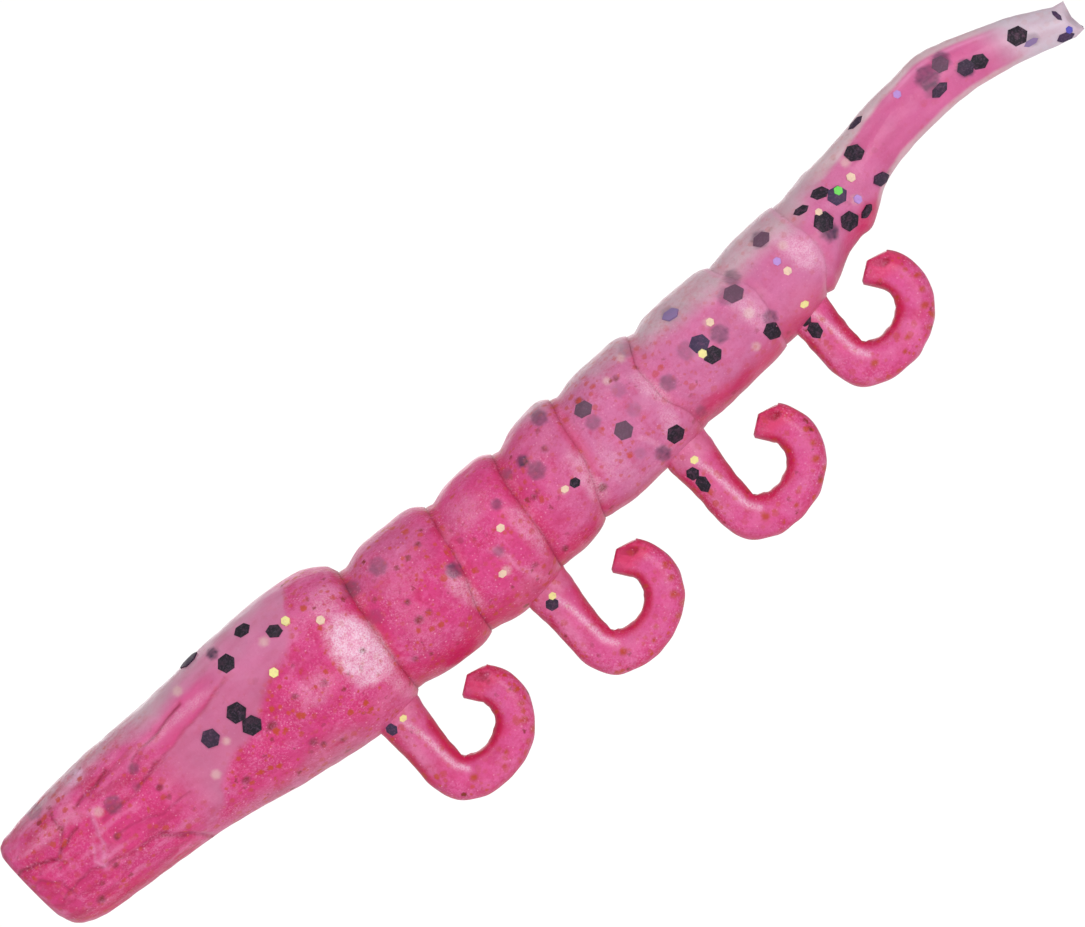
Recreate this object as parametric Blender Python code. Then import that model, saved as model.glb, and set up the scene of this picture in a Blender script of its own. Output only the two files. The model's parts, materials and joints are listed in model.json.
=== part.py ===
"""A 3 inch (76 mm) soft plastic lure with a shrimp's body: a tapered head, six rings, a curved blade tail
and four curled legs in one row along the belly.

The lure is cast from two plastisols, a pearly clear skin and a hot pink core, with hexagonal black glitter
in the skin. It is soft all over and bends at the grooves between its rings, along its tail and at its legs.
Here each stretch between two bends is a solid of its own:
- every ring has a round dome in front, which sits in the round cup behind the ring ahead, both centred on
  the groove;
- a thin web between dome and cup turns up and down in the cup, and the next ring turns sideways on the web;
- the four stretches of the tail meet at ridges, which turn sideways, up and down, and sideways;
- each leg is a shank, which swings on a small ball under the belly, and a curl, which turns on the shank's
  end.

The frame: the origin is the centre of the flat nose face, +X runs to the tail, +Z to the back and -Z to the
legs. Lengths below are in millimetres, angles in degrees, and MM turns them into Blender's metres.
"""

import math

import bmesh
import bpy
from mathutils import Matrix, Vector

MM = 0.001

# ---- driving dimensions --------------------------------------------------------------------------

GAP = 0.2  # between two pieces that turn on each other
CORE_GAP = 0.25  # between a core and the skin around it
WEB_THICKNESS = 0.4
LIP = 0.2  # wall of a cup at its rim
SIDES = 24  # corners of the body's round sections
LEG_SIDES = 14

# Grooves between head, rings and tail: x, height of the axis, radius of the dome, lean of its top to the tail
GROOVES = (
    (24.2, -0.50, 3.90, 3.0),
    (30.0, -0.60, 3.90, 8.0),
    (34.7, -0.35, 3.75, 6.0),
    (38.9, 0.15, 3.60, 8.0),
    (44.7, 0.50, 3.35, -3.0),
    (52.0, 1.10, 3.00, 0.0),
    (56.2, 1.65, 2.75, 0.0),
)
RING_BULGES = (0.25, 0.25, 0.15, 0.20, 0.14, 0.14)  # how far each ring's barrel stands above its grooves
# A dome keeps its ball shape this far behind the groove, so that a ring can tip under the lip
GROOVE_TURN = 16.0

# Outlines: x, height of the axis, half height, half width
HEAD = (
    (0.00, 0.00, 2.60, 2.60),
    (0.25, 0.00, 3.05, 3.00),
    (0.90, 0.02, 3.38, 3.30),
    (4.00, 0.06, 3.72, 3.60),
    (8.00, 0.20, 3.97, 3.80),
    (12.00, 0.17, 4.28, 4.10),
    (16.00, 0.08, 4.75, 4.50),
    (19.00, 0.03, 5.00, 4.70),
    (20.80, -0.04, 5.07, 4.80),
    (22.20, -0.14, 4.97, 4.75),
    (23.20, -0.28, 4.78, 4.60),
    (23.90, -0.42, 4.50, 4.42),
    (24.20, -0.50, 4.30, 4.30),
)
HEAD_LEANS_FROM = 20.0
TAIL = (
    (56.96, 1.65, 2.64, 2.64),
    (57.40, 2.10, 2.66, 2.50),
    (58.60, 2.60, 2.33, 2.25),
    (59.80, 2.78, 2.31, 1.95),
    (61.50, 3.50, 1.92, 1.60),
    (63.00, 3.95, 1.78, 1.40),
    (65.00, 4.35, 1.78, 1.30),
    (67.20, 4.55, 1.76, 1.20),
    (69.00, 4.35, 1.60, 1.10),
    (71.00, 3.95, 1.42, 0.95),
    (73.00, 3.40, 1.28, 0.80),
    (74.90, 2.65, 1.03, 0.60),
    (75.70, 2.45, 0.95, 0.45),
)
TAIL_JOINTS = ((61.8, "sideways"), (66.6, "up_down"), (71.3, "sideways"))
TAIL_RIDGE = 20.0  # slope of the ridge in front of each stretch of tail

# Bore for the pink core: x, height of the axis, radius. The skin is thicker along the back.
HEAD_BORE = ((1.70, -0.25, 1.90), (2.20, -0.25, 2.40), (9.00, -0.20, 2.75), (19.20, -0.50, 3.05))
RING_BORE_RADIUS = 1.70
RING_BORE_DEPTH = 2.10
TAIL_BORE_SHARE = 0.58  # of the tail's half height and half width
TAIL_CORE_ENDS = 73.6  # beyond this the tail is clear

# Legs: x of the shank, height of the belly there, and how much higher than the first leg's its foot is
LEGS = ((22.28, -5.08, 0.0), (33.11, -4.55, 0.39), (43.95, -3.45, 1.44), (53.95, -2.05, 4.44))
LEG_BEND_TOP = -8.72  # where the first leg's shank starts to bend
LEG_BEND_RADIUS = 1.55
LEG_FOOT = 1.35  # straight stretch under the curl
LEG_CURL_RADIUS = 2.45
LEG_CURL_TURN = 130.0
HIP_RADIUS, SHANK_RADIUS, FOOT_RADIUS, TIP_RADIUS = 0.90, 1.25, 1.12, 0.85
BEND_STEPS, CURL_STEPS = 6, 11
KNEE_STEP = 4  # the curl turns on a ball this many steps round the bend
KNEE_BALL, KNEE_CUP = 0.82, 1.00

# Black hexagonal glitter: skin it lies in, share of its length, angle round it (180 is the left side), turn
FLAKE_FLATS, FLAKE_THICKNESS, POCKET_DEPTH, POCKET_GAP = 1.0, 0.10, 0.24, 0.06
FLAKES = (
    ("head_skin", 0.620, 190, 5),
    ("head_skin", 0.635, 170, 22),
    ("head_skin", 0.530, 178, 12),
    ("head_skin", 0.67, 140, 8),
    ("head_skin", 0.74, 122, 30),
    ("head_skin", 0.45, 20, 40),
    ("head_skin", 0.60, 42, 15),
    ("ring_3_skin", 0.62, 196, 20),
    ("ring_4_skin", 0.55, 150, 35),
    ("ring_4_skin", 0.50, 205, 10),
    ("ring_5_skin", 0.45, 176, 25),
    ("ring_5_skin", 0.78, 214, 50),
    ("ring_6_skin", 0.55, 12, 18),
    ("tail_1_skin", 0.22, 190, 28),
    ("tail_1_skin", 0.50, 202, 5),
    ("tail_1_skin", 0.80, 140, 33),
    ("tail_3_skin", 0.30, 184, 12),
    ("tail_4_skin", 0.30, 178, 40),
)

SKIN, CORE, LEG_PLASTIC, GLITTER = "skin", "core", "leg_plastic", "glitter"
MATERIALS = {  # base colour, roughness, metallic
    SKIN: ((0.80, 0.36, 0.55), 0.38, 0.0),
    CORE: ((0.72, 0.06, 0.25), 0.45, 0.0),
    LEG_PLASTIC: ((0.75, 0.10, 0.29), 0.38, 0.0),
    GLITTER: ((0.02, 0.015, 0.025), 0.25, 0.6),
}


# ---- small tools ---------------------------------------------------------------------------------

def clear_scene():
    for old in list(bpy.data.objects):
        bpy.data.objects.remove(old)


def material(name):
    made = bpy.data.materials.get(name)
    if made is None:
        colour, roughness, metallic = MATERIALS[name]
        made = bpy.data.materials.new(name)
        made.use_nodes = True
        shader = made.node_tree.nodes["Principled BSDF"]
        shader.inputs["Base Color"].default_value = (*colour, 1.0)
        shader.inputs["Roughness"].default_value = roughness
        shader.inputs["Metallic"].default_value = metallic
    return made


def mix(a, b, share):
    return a + (b - a) * share


def along(stations, x):
    """The values after x of a row of stations, on a smooth curve through them."""
    last = len(stations) - 1
    i = max(k for k in range(last) if stations[k][0] <= x or k == 0)
    x0, x1 = stations[i][0], stations[i + 1][0]
    share = min(max((x - x0) / (x1 - x0), 0.0), 1.0)
    found = []
    for k in range(1, len(stations[0])):
        value = [s[k] for s in stations]
        slopes = []
        for j in (i, i + 1):
            before, after = max(j - 1, 0), min(j + 1, last)
            slopes.append((value[after] - value[before]) / (stations[after][0] - stations[before][0]))
        s2, s3 = share**2, share**3
        found.append(
            (2 * s3 - 3 * s2 + 1) * value[i]
            + (s3 - 2 * s2 + share) * slopes[0] * (x1 - x0)
            + (3 * s2 - 2 * s3) * value[i + 1]
            + (s3 - s2) * slopes[1] * (x1 - x0)
        )
    return found


def section(x, z, lean, half_height, half_width, angle):
    """A point on an oval section round the axis at (x, z). Angle 0 is +Y, 90 the back, 180 the left side."""
    up = half_height * math.sin(math.radians(angle))
    across = half_width * math.cos(math.radians(angle))
    lean = math.radians(lean)
    return Vector((x + up * math.sin(lean), across, z + up * math.cos(lean)))


def oval(x, z, lean, half_height, half_width, sides=SIDES):
    return [section(x, z, lean, half_height, half_width, 360 * k / sides) for k in range(sides)]


def ball_loop(groove, radius, latitude, sides=SIDES):
    """A circle on the ball round a groove's centre. Latitude 0 is in the groove, 90 foremost on the ball."""
    x, z, _, lean = groove
    forward = radius * math.sin(math.radians(latitude))
    round_radius = radius * math.cos(math.radians(latitude))
    tip = math.radians(lean)
    centre_x, centre_z = x - forward * math.cos(tip), z + forward * math.sin(tip)
    return oval(centre_x, centre_z, lean, round_radius, round_radius, sides)


def ball_pole(groove, radius):
    x, z, _, lean = groove
    tip = math.radians(lean)
    return [Vector((x - radius * math.cos(tip), 0, z + radius * math.sin(tip)))]


def loft(name, rows, kind, ring_shaped=False):
    """One closed solid through rows of points. A row can be one point. ring_shaped joins last row to first."""
    mesh = bmesh.new()
    made = [[mesh.verts.new(point * MM) for point in row] for row in rows]
    pairs = list(zip(made, made[1:]))
    if ring_shaped:
        pairs.append((made[-1], made[0]))
    for one, two in pairs:
        count = max(len(one), len(two))
        for k in range(count):
            n = (k + 1) % count
            if len(one) == 1:
                mesh.faces.new((one[0], two[k], two[n]))
            elif len(two) == 1:
                mesh.faces.new((one[k], one[n], two[0]))
            else:
                mesh.faces.new((one[k], one[n], two[n], two[k]))
    if not ring_shaped:
        for row in (made[0], made[-1]):
            if len(row) > 1:
                mesh.faces.new(row)
    bmesh.ops.recalc_face_normals(mesh, faces=mesh.faces)
    return finish(name, mesh, kind)


def finish(name, mesh, kind):
    data = bpy.data.meshes.new(name)
    mesh.to_mesh(data)
    mesh.free()
    data.shade_smooth()
    data.set_sharp_from_angle(angle=math.radians(40))
    data.materials.append(material(kind))
    made = bpy.data.objects.new(name, data)
    bpy.context.scene.collection.objects.link(made)
    return made


# ---- outlines of head, rings and tail ------------------------------------------------------------

def head_section(share):
    x = share * GROOVES[0][0]
    z, half_height, half_width = along(HEAD, x)
    lean = GROOVES[0][3] * max(0.0, (x - HEAD_LEANS_FROM) / (GROOVES[0][0] - HEAD_LEANS_FROM))
    return x, z, lean, half_height, half_width


def ring_section(number, share):
    """Section of a ring's barrel, from the back of its groove to its lip."""
    front, back = GROOVES[number - 1], GROOVES[number]
    turn = math.radians(GROOVE_TURN)
    start_x = front[0] + front[2] * math.sin(turn)
    start_radius = front[2] * math.cos(turn)
    x = mix(start_x, back[0], share)
    rise = min(1.0, share / 0.16)
    rise = rise * rise * (3 - 2 * rise)
    crown = math.sin(math.pi * min(1.0, 0.15 + 0.85 * share) ** 1.15)
    radius = mix(start_radius, mix(front[2], back[2] + GAP + LIP, share), rise)
    radius += RING_BULGES[number - 1] * rise * crown
    return x, mix(front[1], back[1], share), mix(front[3], back[3], share), radius, radius


def tail_section(x):
    z, half_height, half_width = along(TAIL, x)
    return x, z, 0.0, half_height, half_width


def tail_stretch(number):
    """First and last x of a stretch of tail. Stretches after the first start at their ridge's crest."""
    joints = [x for x, _ in TAIL_JOINTS]
    starts, ends = [TAIL[0][0], *joints], [*joints, TAIL[-1][0]]
    return starts[number - 1], ends[number - 1]


def skin_point(skin, share, angle):
    """A point on the outside of a skin: share of its length, angle round it."""
    if skin == "head_skin":
        return section(*head_section(share), angle)
    kind, number = skin.split("_")[:2]
    if kind == "ring":
        return section(*ring_section(int(number), share), angle)
    first, last = tail_stretch(int(number))
    return section(*tail_section(mix(first, last, share)), angle)


# ---- head ----------------------------------------------------------------------------------------

def cup_rows(groove):
    """The cup behind a head or ring, from its rim inwards: snug over the dome, deeper where the web lies."""
    snug = groove[2] + GAP
    deep = groove[2] + 2 * GAP + WEB_THICKNESS
    rows = [ball_loop(groove, snug, latitude) for latitude in (0, 14, 28, 41)]
    rows += [ball_loop(groove, deep, latitude) for latitude in (43, 54)]
    return rows


def bore_oval(x, z, radius):
    return oval(x, z, 0.0, radius, radius)


def make_head():
    shares = (0.0, 0.011, 0.037, 0.10, 0.20, 0.33, 0.50, 0.64, 0.75, 0.83, 0.89, 0.94, 0.98, 1.0)
    rows = [oval(*head_section(share)) for share in shares]
    rows += cup_rows(GROOVES[0])
    bore = HEAD_BORE[::-1]
    rows += [bore_oval(*station) for station in bore]
    loft("head_skin", rows, SKIN)

    core = [bore_oval(x, z, radius - CORE_GAP) for x, z, radius in bore]
    front, back = HEAD_BORE[0], HEAD_BORE[-1]
    core[0] = bore_oval(back[0] - CORE_GAP, back[1], back[2] - CORE_GAP)
    core[-1] = bore_oval(front[0] + CORE_GAP, front[1], front[2] - CORE_GAP)
    loft("head_core", core, CORE)


# ---- rings ---------------------------------------------------------------------------------------

def dome_rows(groove):
    """The round front of a ring or of the tail, from its foremost point to behind the groove."""
    radius = groove[2]
    rows = [ball_pole(groove, radius)]
    rows += [ball_loop(groove, radius, latitude) for latitude in (70, 48, 26, 8, -8)]
    return rows


def ring_bore(number):
    """The bore in the bottom of a ring's cup: its mouth and its end."""
    groove = GROOVES[number]
    mouth = groove[2] + 2 * GAP + WEB_THICKNESS - 0.35
    return [(groove, mouth), (groove, mouth + RING_BORE_DEPTH)]


def bore_loop(groove, forward, radius):
    tip = math.radians(groove[3])
    x, z = groove[0] - forward * math.cos(tip), groove[1] + forward * math.sin(tip)
    return oval(x, z, groove[3], radius, radius)


def make_ring(number):
    rows = dome_rows(GROOVES[number - 1])
    shares = (0.0, 0.09, 0.18, 0.34, 0.52, 0.70, 0.87, 1.0)
    rows += [oval(*ring_section(number, share)) for share in shares]
    rows += cup_rows(GROOVES[number])
    mouth, end = [bore_loop(groove, forward, RING_BORE_RADIUS) for groove, forward in ring_bore(number)]
    rows += [mouth, end]
    loft(f"ring_{number}_skin", rows, SKIN)

    (groove, mouth), (_, end) = ring_bore(number)
    radius = RING_BORE_RADIUS - CORE_GAP
    plug = [bore_loop(groove, forward, radius) for forward in (mouth + CORE_GAP, end - CORE_GAP)]
    loft(f"ring_{number}_core", plug, CORE)


def make_web(number):
    """The thin web in front of a dome: a cap of a hollow ball."""
    groove = GROOVES[number - 1]
    inner, outer = groove[2] + GAP, groove[2] + GAP + WEB_THICKNESS
    latitudes = (80, 68, 57)
    rows = [ball_pole(groove, outer)]
    rows += [ball_loop(groove, outer, latitude, sides=16) for latitude in latitudes]
    rows += [ball_loop(groove, inner, latitude, sides=16) for latitude in reversed(latitudes)]
    rows += [ball_pole(groove, inner)]
    loft(f"web_{number}", rows, CORE)


# ---- tail ----------------------------------------------------------------------------------------

def ridge(loop, joint_x, joint_z, turns):
    """Bends a loop back from the crest of a ridge along the joint's axis."""
    slope = math.tan(math.radians(TAIL_RIDGE))
    moved = []
    for point in loop:
        away = abs(point.y) if turns == "sideways" else abs(point.z - joint_z)
        moved.append(Vector((joint_x + GAP + away * slope, point.y, point.z)))
    return moved


def tail_oval(x, share=1.0):
    x, z, lean, half_height, half_width = tail_section(x)
    return oval(x, z, lean, half_height * share, half_width * share, sides=20)


def tail_tube(first, last, share, turns):
    """Loops of a stretch of tail. The first one is bent into a ridge along the joint's axis."""
    crest = ridge(tail_oval(first, share), first, tail_section(first)[1], turns)
    return [crest] + [tail_oval(mix(first + 0.9, last, k / 3), share) for k in range(4)]


def make_tail():
    first, last = tail_stretch(1)
    bore_from = 58.6
    outer = [tail_oval(x) for x in (first, 57.7, 58.7, 59.8, 60.8, last - GAP / 2)]
    inner = [tail_oval(x, TAIL_BORE_SHARE) for x in (last - GAP / 2, 60.2, bore_from)]
    loft("tail_1_skin", tail_dome() + outer + inner, SKIN)
    share = TAIL_BORE_SHARE - 0.12
    loft("tail_1_core", [tail_oval(x, share) for x in (bore_from + CORE_GAP, 60.2, last - 0.5)], CORE)

    for number in (2, 3, 4):
        first, last = tail_stretch(number)
        turns = TAIL_JOINTS[number - 2][1]
        if number < 4:
            last -= GAP / 2
            outer = tail_tube(first, last, 1.0, turns)
            inner = tail_tube(first, last, TAIL_BORE_SHARE, turns)
            loft(f"tail_{number}_skin", outer + inner[::-1], SKIN, ring_shaped=True)
            core_from, core_to = first + 0.95, last - 0.4
        else:
            outer = tail_tube(first, last, 1.0, turns)
            inner = tail_tube(first, TAIL_CORE_ENDS, TAIL_BORE_SHARE, turns)
            loft(f"tail_{number}_skin", inner[::-1] + outer, SKIN)
            core_from, core_to = first + 0.95, TAIL_CORE_ENDS - CORE_GAP
        core = [tail_oval(mix(core_from, core_to, k / 2), share) for k in range(3)]
        loft(f"tail_{number}_core", core, CORE)


def tail_dome():
    """The dome in front of the tail, with as many sides as the tail."""
    groove = GROOVES[-1]
    rows = [ball_pole(groove, groove[2])]
    rows += [ball_loop(groove, groove[2], latitude, sides=20) for latitude in (70, 48, 26, 8, -8)]
    return rows


# ---- legs ----------------------------------------------------------------------------------------

def leg_line(number):
    """Centre line of a leg from the top of its bend: x, z, heading. Heading -90 is down, 0 to the tail."""
    x, _, lift = LEGS[number - 1]
    bottom = LEG_BEND_TOP + lift - LEG_BEND_RADIUS
    bend_x = x + LEG_BEND_RADIUS
    turns = [-90 + 90 * k / BEND_STEPS for k in range(BEND_STEPS)]
    line = [arc_point(bend_x, bottom + LEG_BEND_RADIUS, LEG_BEND_RADIUS, turn) for turn in turns]
    centre_x = bend_x + LEG_FOOT
    line.append((centre_x - LEG_FOOT, bottom, 0.0))
    turns = [LEG_CURL_TURN * k / CURL_STEPS for k in range(CURL_STEPS + 1)]
    line += [arc_point(centre_x, bottom + LEG_CURL_RADIUS, LEG_CURL_RADIUS, turn) for turn in turns]
    return line


def arc_point(centre_x, centre_z, radius, heading):
    turn = math.radians(heading)
    return centre_x + radius * math.sin(turn), centre_z - radius * math.cos(turn), heading


def hip(number):
    """Centre of the small ball on which a leg swings, just under the belly."""
    x, belly, _ = LEGS[number - 1]
    return x, belly - HIP_RADIUS - GAP - 0.1


def knee(number):
    """Centre of the ball on which a leg's curl turns."""
    return leg_line(number)[KNEE_STEP][:2]


def round_loop(x, z, heading, radius, forward=0.0):
    """A circle square to a line through (x, z) that runs along heading."""
    turn = math.radians(heading)
    way = Vector((math.cos(turn), 0, math.sin(turn)))
    side = Vector((-math.sin(turn), 0, math.cos(turn)))
    centre = Vector((x, 0, z)) + forward * way
    turns = [2 * math.pi * k / LEG_SIDES for k in range(LEG_SIDES)]
    return [centre + radius * (math.cos(a) * side + math.sin(a) * Vector((0, 1, 0))) for a in turns]


def half_ball(x, z, heading, radius, latitudes):
    """Loops on a ball, from its pole behind the centre forwards."""
    turn = math.radians(heading)
    rows = [[Vector((x - radius * math.cos(turn), 0, z - radius * math.sin(turn)))]]
    for latitude in latitudes:
        back = math.radians(latitude)
        rows.append(round_loop(x, z, heading, radius * math.cos(back), -radius * math.sin(back)))
    return rows


def leg_radius(heading):
    if heading < 0:
        return mix(SHANK_RADIUS, FOOT_RADIUS, (heading + 90) / 90)
    return mix(FOOT_RADIUS, 1.06, heading / LEG_CURL_TURN)


def make_leg(number):
    line = leg_line(number)
    knee_x, knee_z, knee_heading = line[KNEE_STEP]
    hip_x, hip_z = hip(number)
    top = line[0][1]
    rows = half_ball(hip_x, hip_z, -90, HIP_RADIUS, (62, 35, 10, -20))
    for share in (0.0, 0.5, 1.0):
        rows.append(round_loop(hip_x, mix(hip_z - 0.75, top, share), -90, SHANK_RADIUS))
    for x, z, heading in line[1 : KNEE_STEP + 1]:
        rows.append(round_loop(x, z, heading, leg_radius(heading)))
    rows += half_ball(knee_x, knee_z, knee_heading, KNEE_CUP, (55, 27, 0))[::-1]
    loft(f"leg_{number}_shank", rows, LEG_PLASTIC)

    rows = half_ball(knee_x, knee_z, knee_heading, KNEE_BALL, (60, 35, 10, -15))
    for x, z, heading in line[KNEE_STEP + 1 :]:
        rows.append(round_loop(x, z, heading, leg_radius(heading)))
    x, z, heading = line[-1]
    rows.append(round_loop(x, z, heading, TIP_RADIUS, forward=0.3))
    loft(f"leg_{number}_curl", rows, LEG_PLASTIC)


# ---- glitter -------------------------------------------------------------------------------------

def hexagon(mesh, place, flats, bottom, top):
    """Adds a closed hexagonal plate to a mesh. Place turns its own axes, +Z up, into the lure's."""
    corner = flats / math.sqrt(3)
    rings = []
    for height in (bottom, top):
        ring = []
        for k in range(6):
            turn = math.radians(60 * k)
            point = Vector((corner * math.cos(turn), corner * math.sin(turn), height))
            ring.append(mesh.verts.new((place @ point) * MM))
        rings.append(ring)
    low, high = rings
    for k in range(6):
        n = (k + 1) % 6
        mesh.faces.new((low[k], low[n], high[n], high[k]))
    mesh.faces.new(high)
    mesh.faces.new(low[::-1])


def flake_place(skin, share, angle, turn):
    """Axes of a flake on the skin: +Z along the surface's outward normal."""
    here = skin_point(skin, share, angle)
    ahead = skin_point(skin, share + 0.02, angle) - skin_point(skin, share - 0.02, angle)
    across = skin_point(skin, share, angle + 4) - skin_point(skin, share, angle - 4)
    up = ahead.cross(across).normalized()
    axis_point = skin_point(skin, share, angle + 180)
    if up.dot(here - axis_point) < 0:
        up.negate()
    ahead = (ahead - up * ahead.dot(up)).normalized()
    axes = Matrix((ahead, up.cross(ahead), up)).transposed()
    return Matrix.Translation(here) @ axes.to_4x4() @ Matrix.Rotation(math.radians(turn), 4, "Z")


def make_flakes():
    cutters = {}
    for number, (skin, share, angle, turn) in enumerate(FLAKES, 1):
        place = flake_place(skin, share, angle, turn)
        top = -0.10
        plate = bmesh.new()
        hexagon(plate, place, FLAKE_FLATS, top - FLAKE_THICKNESS, top)
        finish(f"black_flake_{number:02d}", plate, GLITTER)
        pocket = cutters.setdefault(skin, bmesh.new())
        hexagon(pocket, place, FLAKE_FLATS + 2 * POCKET_GAP, top - FLAKE_THICKNESS - POCKET_GAP, 1.0)
    for skin, pocket in cutters.items():
        cutter = finish(f"pockets_in_{skin}", pocket, GLITTER)
        cutter.hide_render = True
        cutter.display_type = "WIRE"
        cut = bpy.data.objects[skin].modifiers.new("pockets", "BOOLEAN")
        cut.operation = "DIFFERENCE"
        cut.object = cutter


# ---- joints ---------------------------------------------------------------------------------------

def set_origin(name, x, z):
    """Puts a piece's origin on its joint's axis, and leaves the piece where it is."""
    piece = bpy.data.objects[name]
    place = Vector((x, 0, z)) * MM
    piece.data.transform(Matrix.Translation(-place))
    piece.location = place


def carry(skin):
    """Hangs a skin's core, glitter and cutter on it."""
    names = [skin.replace("_skin", "_core"), f"pockets_in_{skin}"]
    names += [f"black_flake_{number:02d}" for number, flake in enumerate(FLAKES, 1) if flake[0] == skin]
    carrier = bpy.data.objects[skin]
    for name in names:
        if name in bpy.data.objects:
            carried = bpy.data.objects[name]
            carried.parent = carrier
            carried.location -= carrier.location


def place_origins():
    for number, (x, z, _, _) in enumerate(GROOVES, 1):
        set_origin(f"web_{number}", x, z)
        set_origin("tail_1_skin" if number == len(GROOVES) else f"ring_{number}_skin", x, z)
    for number, (x, _) in enumerate(TAIL_JOINTS, 2):
        set_origin(f"tail_{number}_skin", x, tail_section(x)[1])
    for number in range(1, len(LEGS) + 1):
        set_origin(f"leg_{number}_shank", *hip(number))
        set_origin(f"leg_{number}_curl", *knee(number))
    carry("head_skin")
    for number in range(1, len(RING_BULGES) + 1):
        carry(f"ring_{number}_skin")
    for number in range(1, len(TAIL_JOINTS) + 2):
        carry(f"tail_{number}_skin")


def main():
    clear_scene()
    make_head()
    for number in range(1, len(RING_BULGES) + 1):
        make_ring(number)
    for number in range(1, len(GROOVES) + 1):
        make_web(number)
    make_tail()
    for number in range(1, len(LEGS) + 1):
        make_leg(number)
    make_flakes()
    place_origins()


main()
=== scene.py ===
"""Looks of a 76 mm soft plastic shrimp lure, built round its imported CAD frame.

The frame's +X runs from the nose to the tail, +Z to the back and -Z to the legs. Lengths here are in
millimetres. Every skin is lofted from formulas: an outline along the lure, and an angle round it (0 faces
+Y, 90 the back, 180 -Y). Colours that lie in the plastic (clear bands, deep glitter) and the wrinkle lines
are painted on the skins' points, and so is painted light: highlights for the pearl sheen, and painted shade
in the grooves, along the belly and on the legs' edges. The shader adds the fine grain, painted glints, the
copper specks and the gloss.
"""

import json
import math

import bmesh
import bpy
import numpy as np
from mathutils import Matrix, Vector, noise
from mathutils.bvhtree import BVHTree

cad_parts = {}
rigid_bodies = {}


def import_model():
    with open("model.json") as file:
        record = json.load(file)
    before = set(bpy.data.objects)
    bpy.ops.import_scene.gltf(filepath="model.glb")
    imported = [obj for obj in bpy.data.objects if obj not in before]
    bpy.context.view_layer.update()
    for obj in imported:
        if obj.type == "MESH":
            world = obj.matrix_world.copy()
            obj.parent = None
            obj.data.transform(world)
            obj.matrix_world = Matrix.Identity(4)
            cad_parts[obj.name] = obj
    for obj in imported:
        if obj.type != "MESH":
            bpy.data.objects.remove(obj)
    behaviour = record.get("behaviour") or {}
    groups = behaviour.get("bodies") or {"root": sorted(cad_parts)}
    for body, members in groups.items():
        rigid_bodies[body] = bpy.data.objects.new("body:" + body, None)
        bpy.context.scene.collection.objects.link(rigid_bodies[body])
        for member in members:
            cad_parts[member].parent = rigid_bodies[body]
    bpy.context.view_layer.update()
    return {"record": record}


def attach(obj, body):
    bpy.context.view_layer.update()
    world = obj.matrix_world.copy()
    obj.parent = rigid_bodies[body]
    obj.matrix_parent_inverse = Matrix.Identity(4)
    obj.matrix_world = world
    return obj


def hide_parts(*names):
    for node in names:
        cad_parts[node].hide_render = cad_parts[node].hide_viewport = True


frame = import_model()

MM = 0.001
FINE = 0.16  # spacing of the skins' points

# ---- shape ----

# Grooves: x, height of the axis, radius of the dome that turns in them
GROOVES = (
    (24.2, -0.50, 3.90), (30.0, -0.60, 3.86), (34.7, -0.35, 3.66), (38.9, 0.15, 3.60), (44.7, 0.50, 3.36),
    (52.0, 1.10, 3.06), (56.2, 1.65, 2.86),
)
# Line of each rear lip seen from the side, from the belly to the back: height, and how far behind the
# groove's centre
RIMS = (
    ((-4.4, -0.25), (-2.0, -0.25), (0.0, -0.12), (2.0, 0.05), (3.4, 0.25)),
    ((-4.4, -0.85), (-2.9, -0.75), (-2.0, -0.45), (-1.0, -0.10), (0.0, 0.10), (2.0, 0.28), (3.3, 0.45)),
    ((-4.0, -0.35), (-2.2, -0.05), (0.0, 0.00), (1.8, 0.08), (2.8, 0.30), (3.4, 0.50)),
    ((-3.4, -0.95), (-2.2, -0.55), (-1.2, -0.20), (-0.1, 0.15), (1.8, 0.28), (2.8, 0.40), (3.7, 0.68)),
    (
        (-2.8, 0.60), (-2.2, 0.65), (-1.2, 0.45), (-0.1, -0.30), (0.7, -0.12), (1.8, -0.36), (2.9, -0.05),
        (3.8, 0.45),
    ),
    ((-2.0, -0.20), (-1.0, 0.00), (0.2, 0.20), (0.8, 0.30), (1.8, 0.20), (2.6, -0.15), (3.8, -1.00)),
    ((-1.2, -0.95), (-0.5, -0.45), (0.2, 0.05), (1.0, 0.34), (1.9, 0.30), (2.7, 0.10), (4.4, -0.35)),
)
LIP_GAP = 0.07
DOME_SHOWN = 0.45  # how much of a dome shows behind the lip before the barrel starts to swell
# How far each ring's barrel stands above its grooves at the back, belly and sides, and the length of its
# rear shoulder
RINGS = (
    (0.54, 0.30, 0.40, 1.30), (0.42, 0.42, 0.42, 1.20), (0.46, 0.24, 0.34, 1.10), (0.32, 0.20, 0.26, 1.10),
    (0.34, 0.14, 0.18, 1.20), (0.16, 0.24, 0.22, 1.10),
)
# Outline of the head: x, back, belly, half width
HEAD = (
    (0.00, 2.45, -2.10, 2.20), (0.18, 2.80, -2.62, 2.62), (0.55, 3.06, -3.06, 2.96),
    (1.10, 3.22, -3.32, 3.20), (1.90, 3.42, -3.52, 3.36), (3.20, 3.62, -3.68, 3.50),
    (6.00, 4.02, -3.75, 3.62), (9.30, 4.22, -3.86, 3.84), (12.60, 4.44, -4.22, 4.12),
    (16.00, 4.80, -4.70, 4.45), (18.40, 4.98, -4.96, 4.66), (20.40, 5.04, -5.12, 4.80),
    (21.60, 4.94, -5.12, 4.82), (22.60, 4.72, -5.02, 4.72), (23.30, 4.40, -4.86, 4.56),
    (23.80, 4.04, -4.70, 4.34), (24.10, 3.70, -4.56, 4.12),
)
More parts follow.
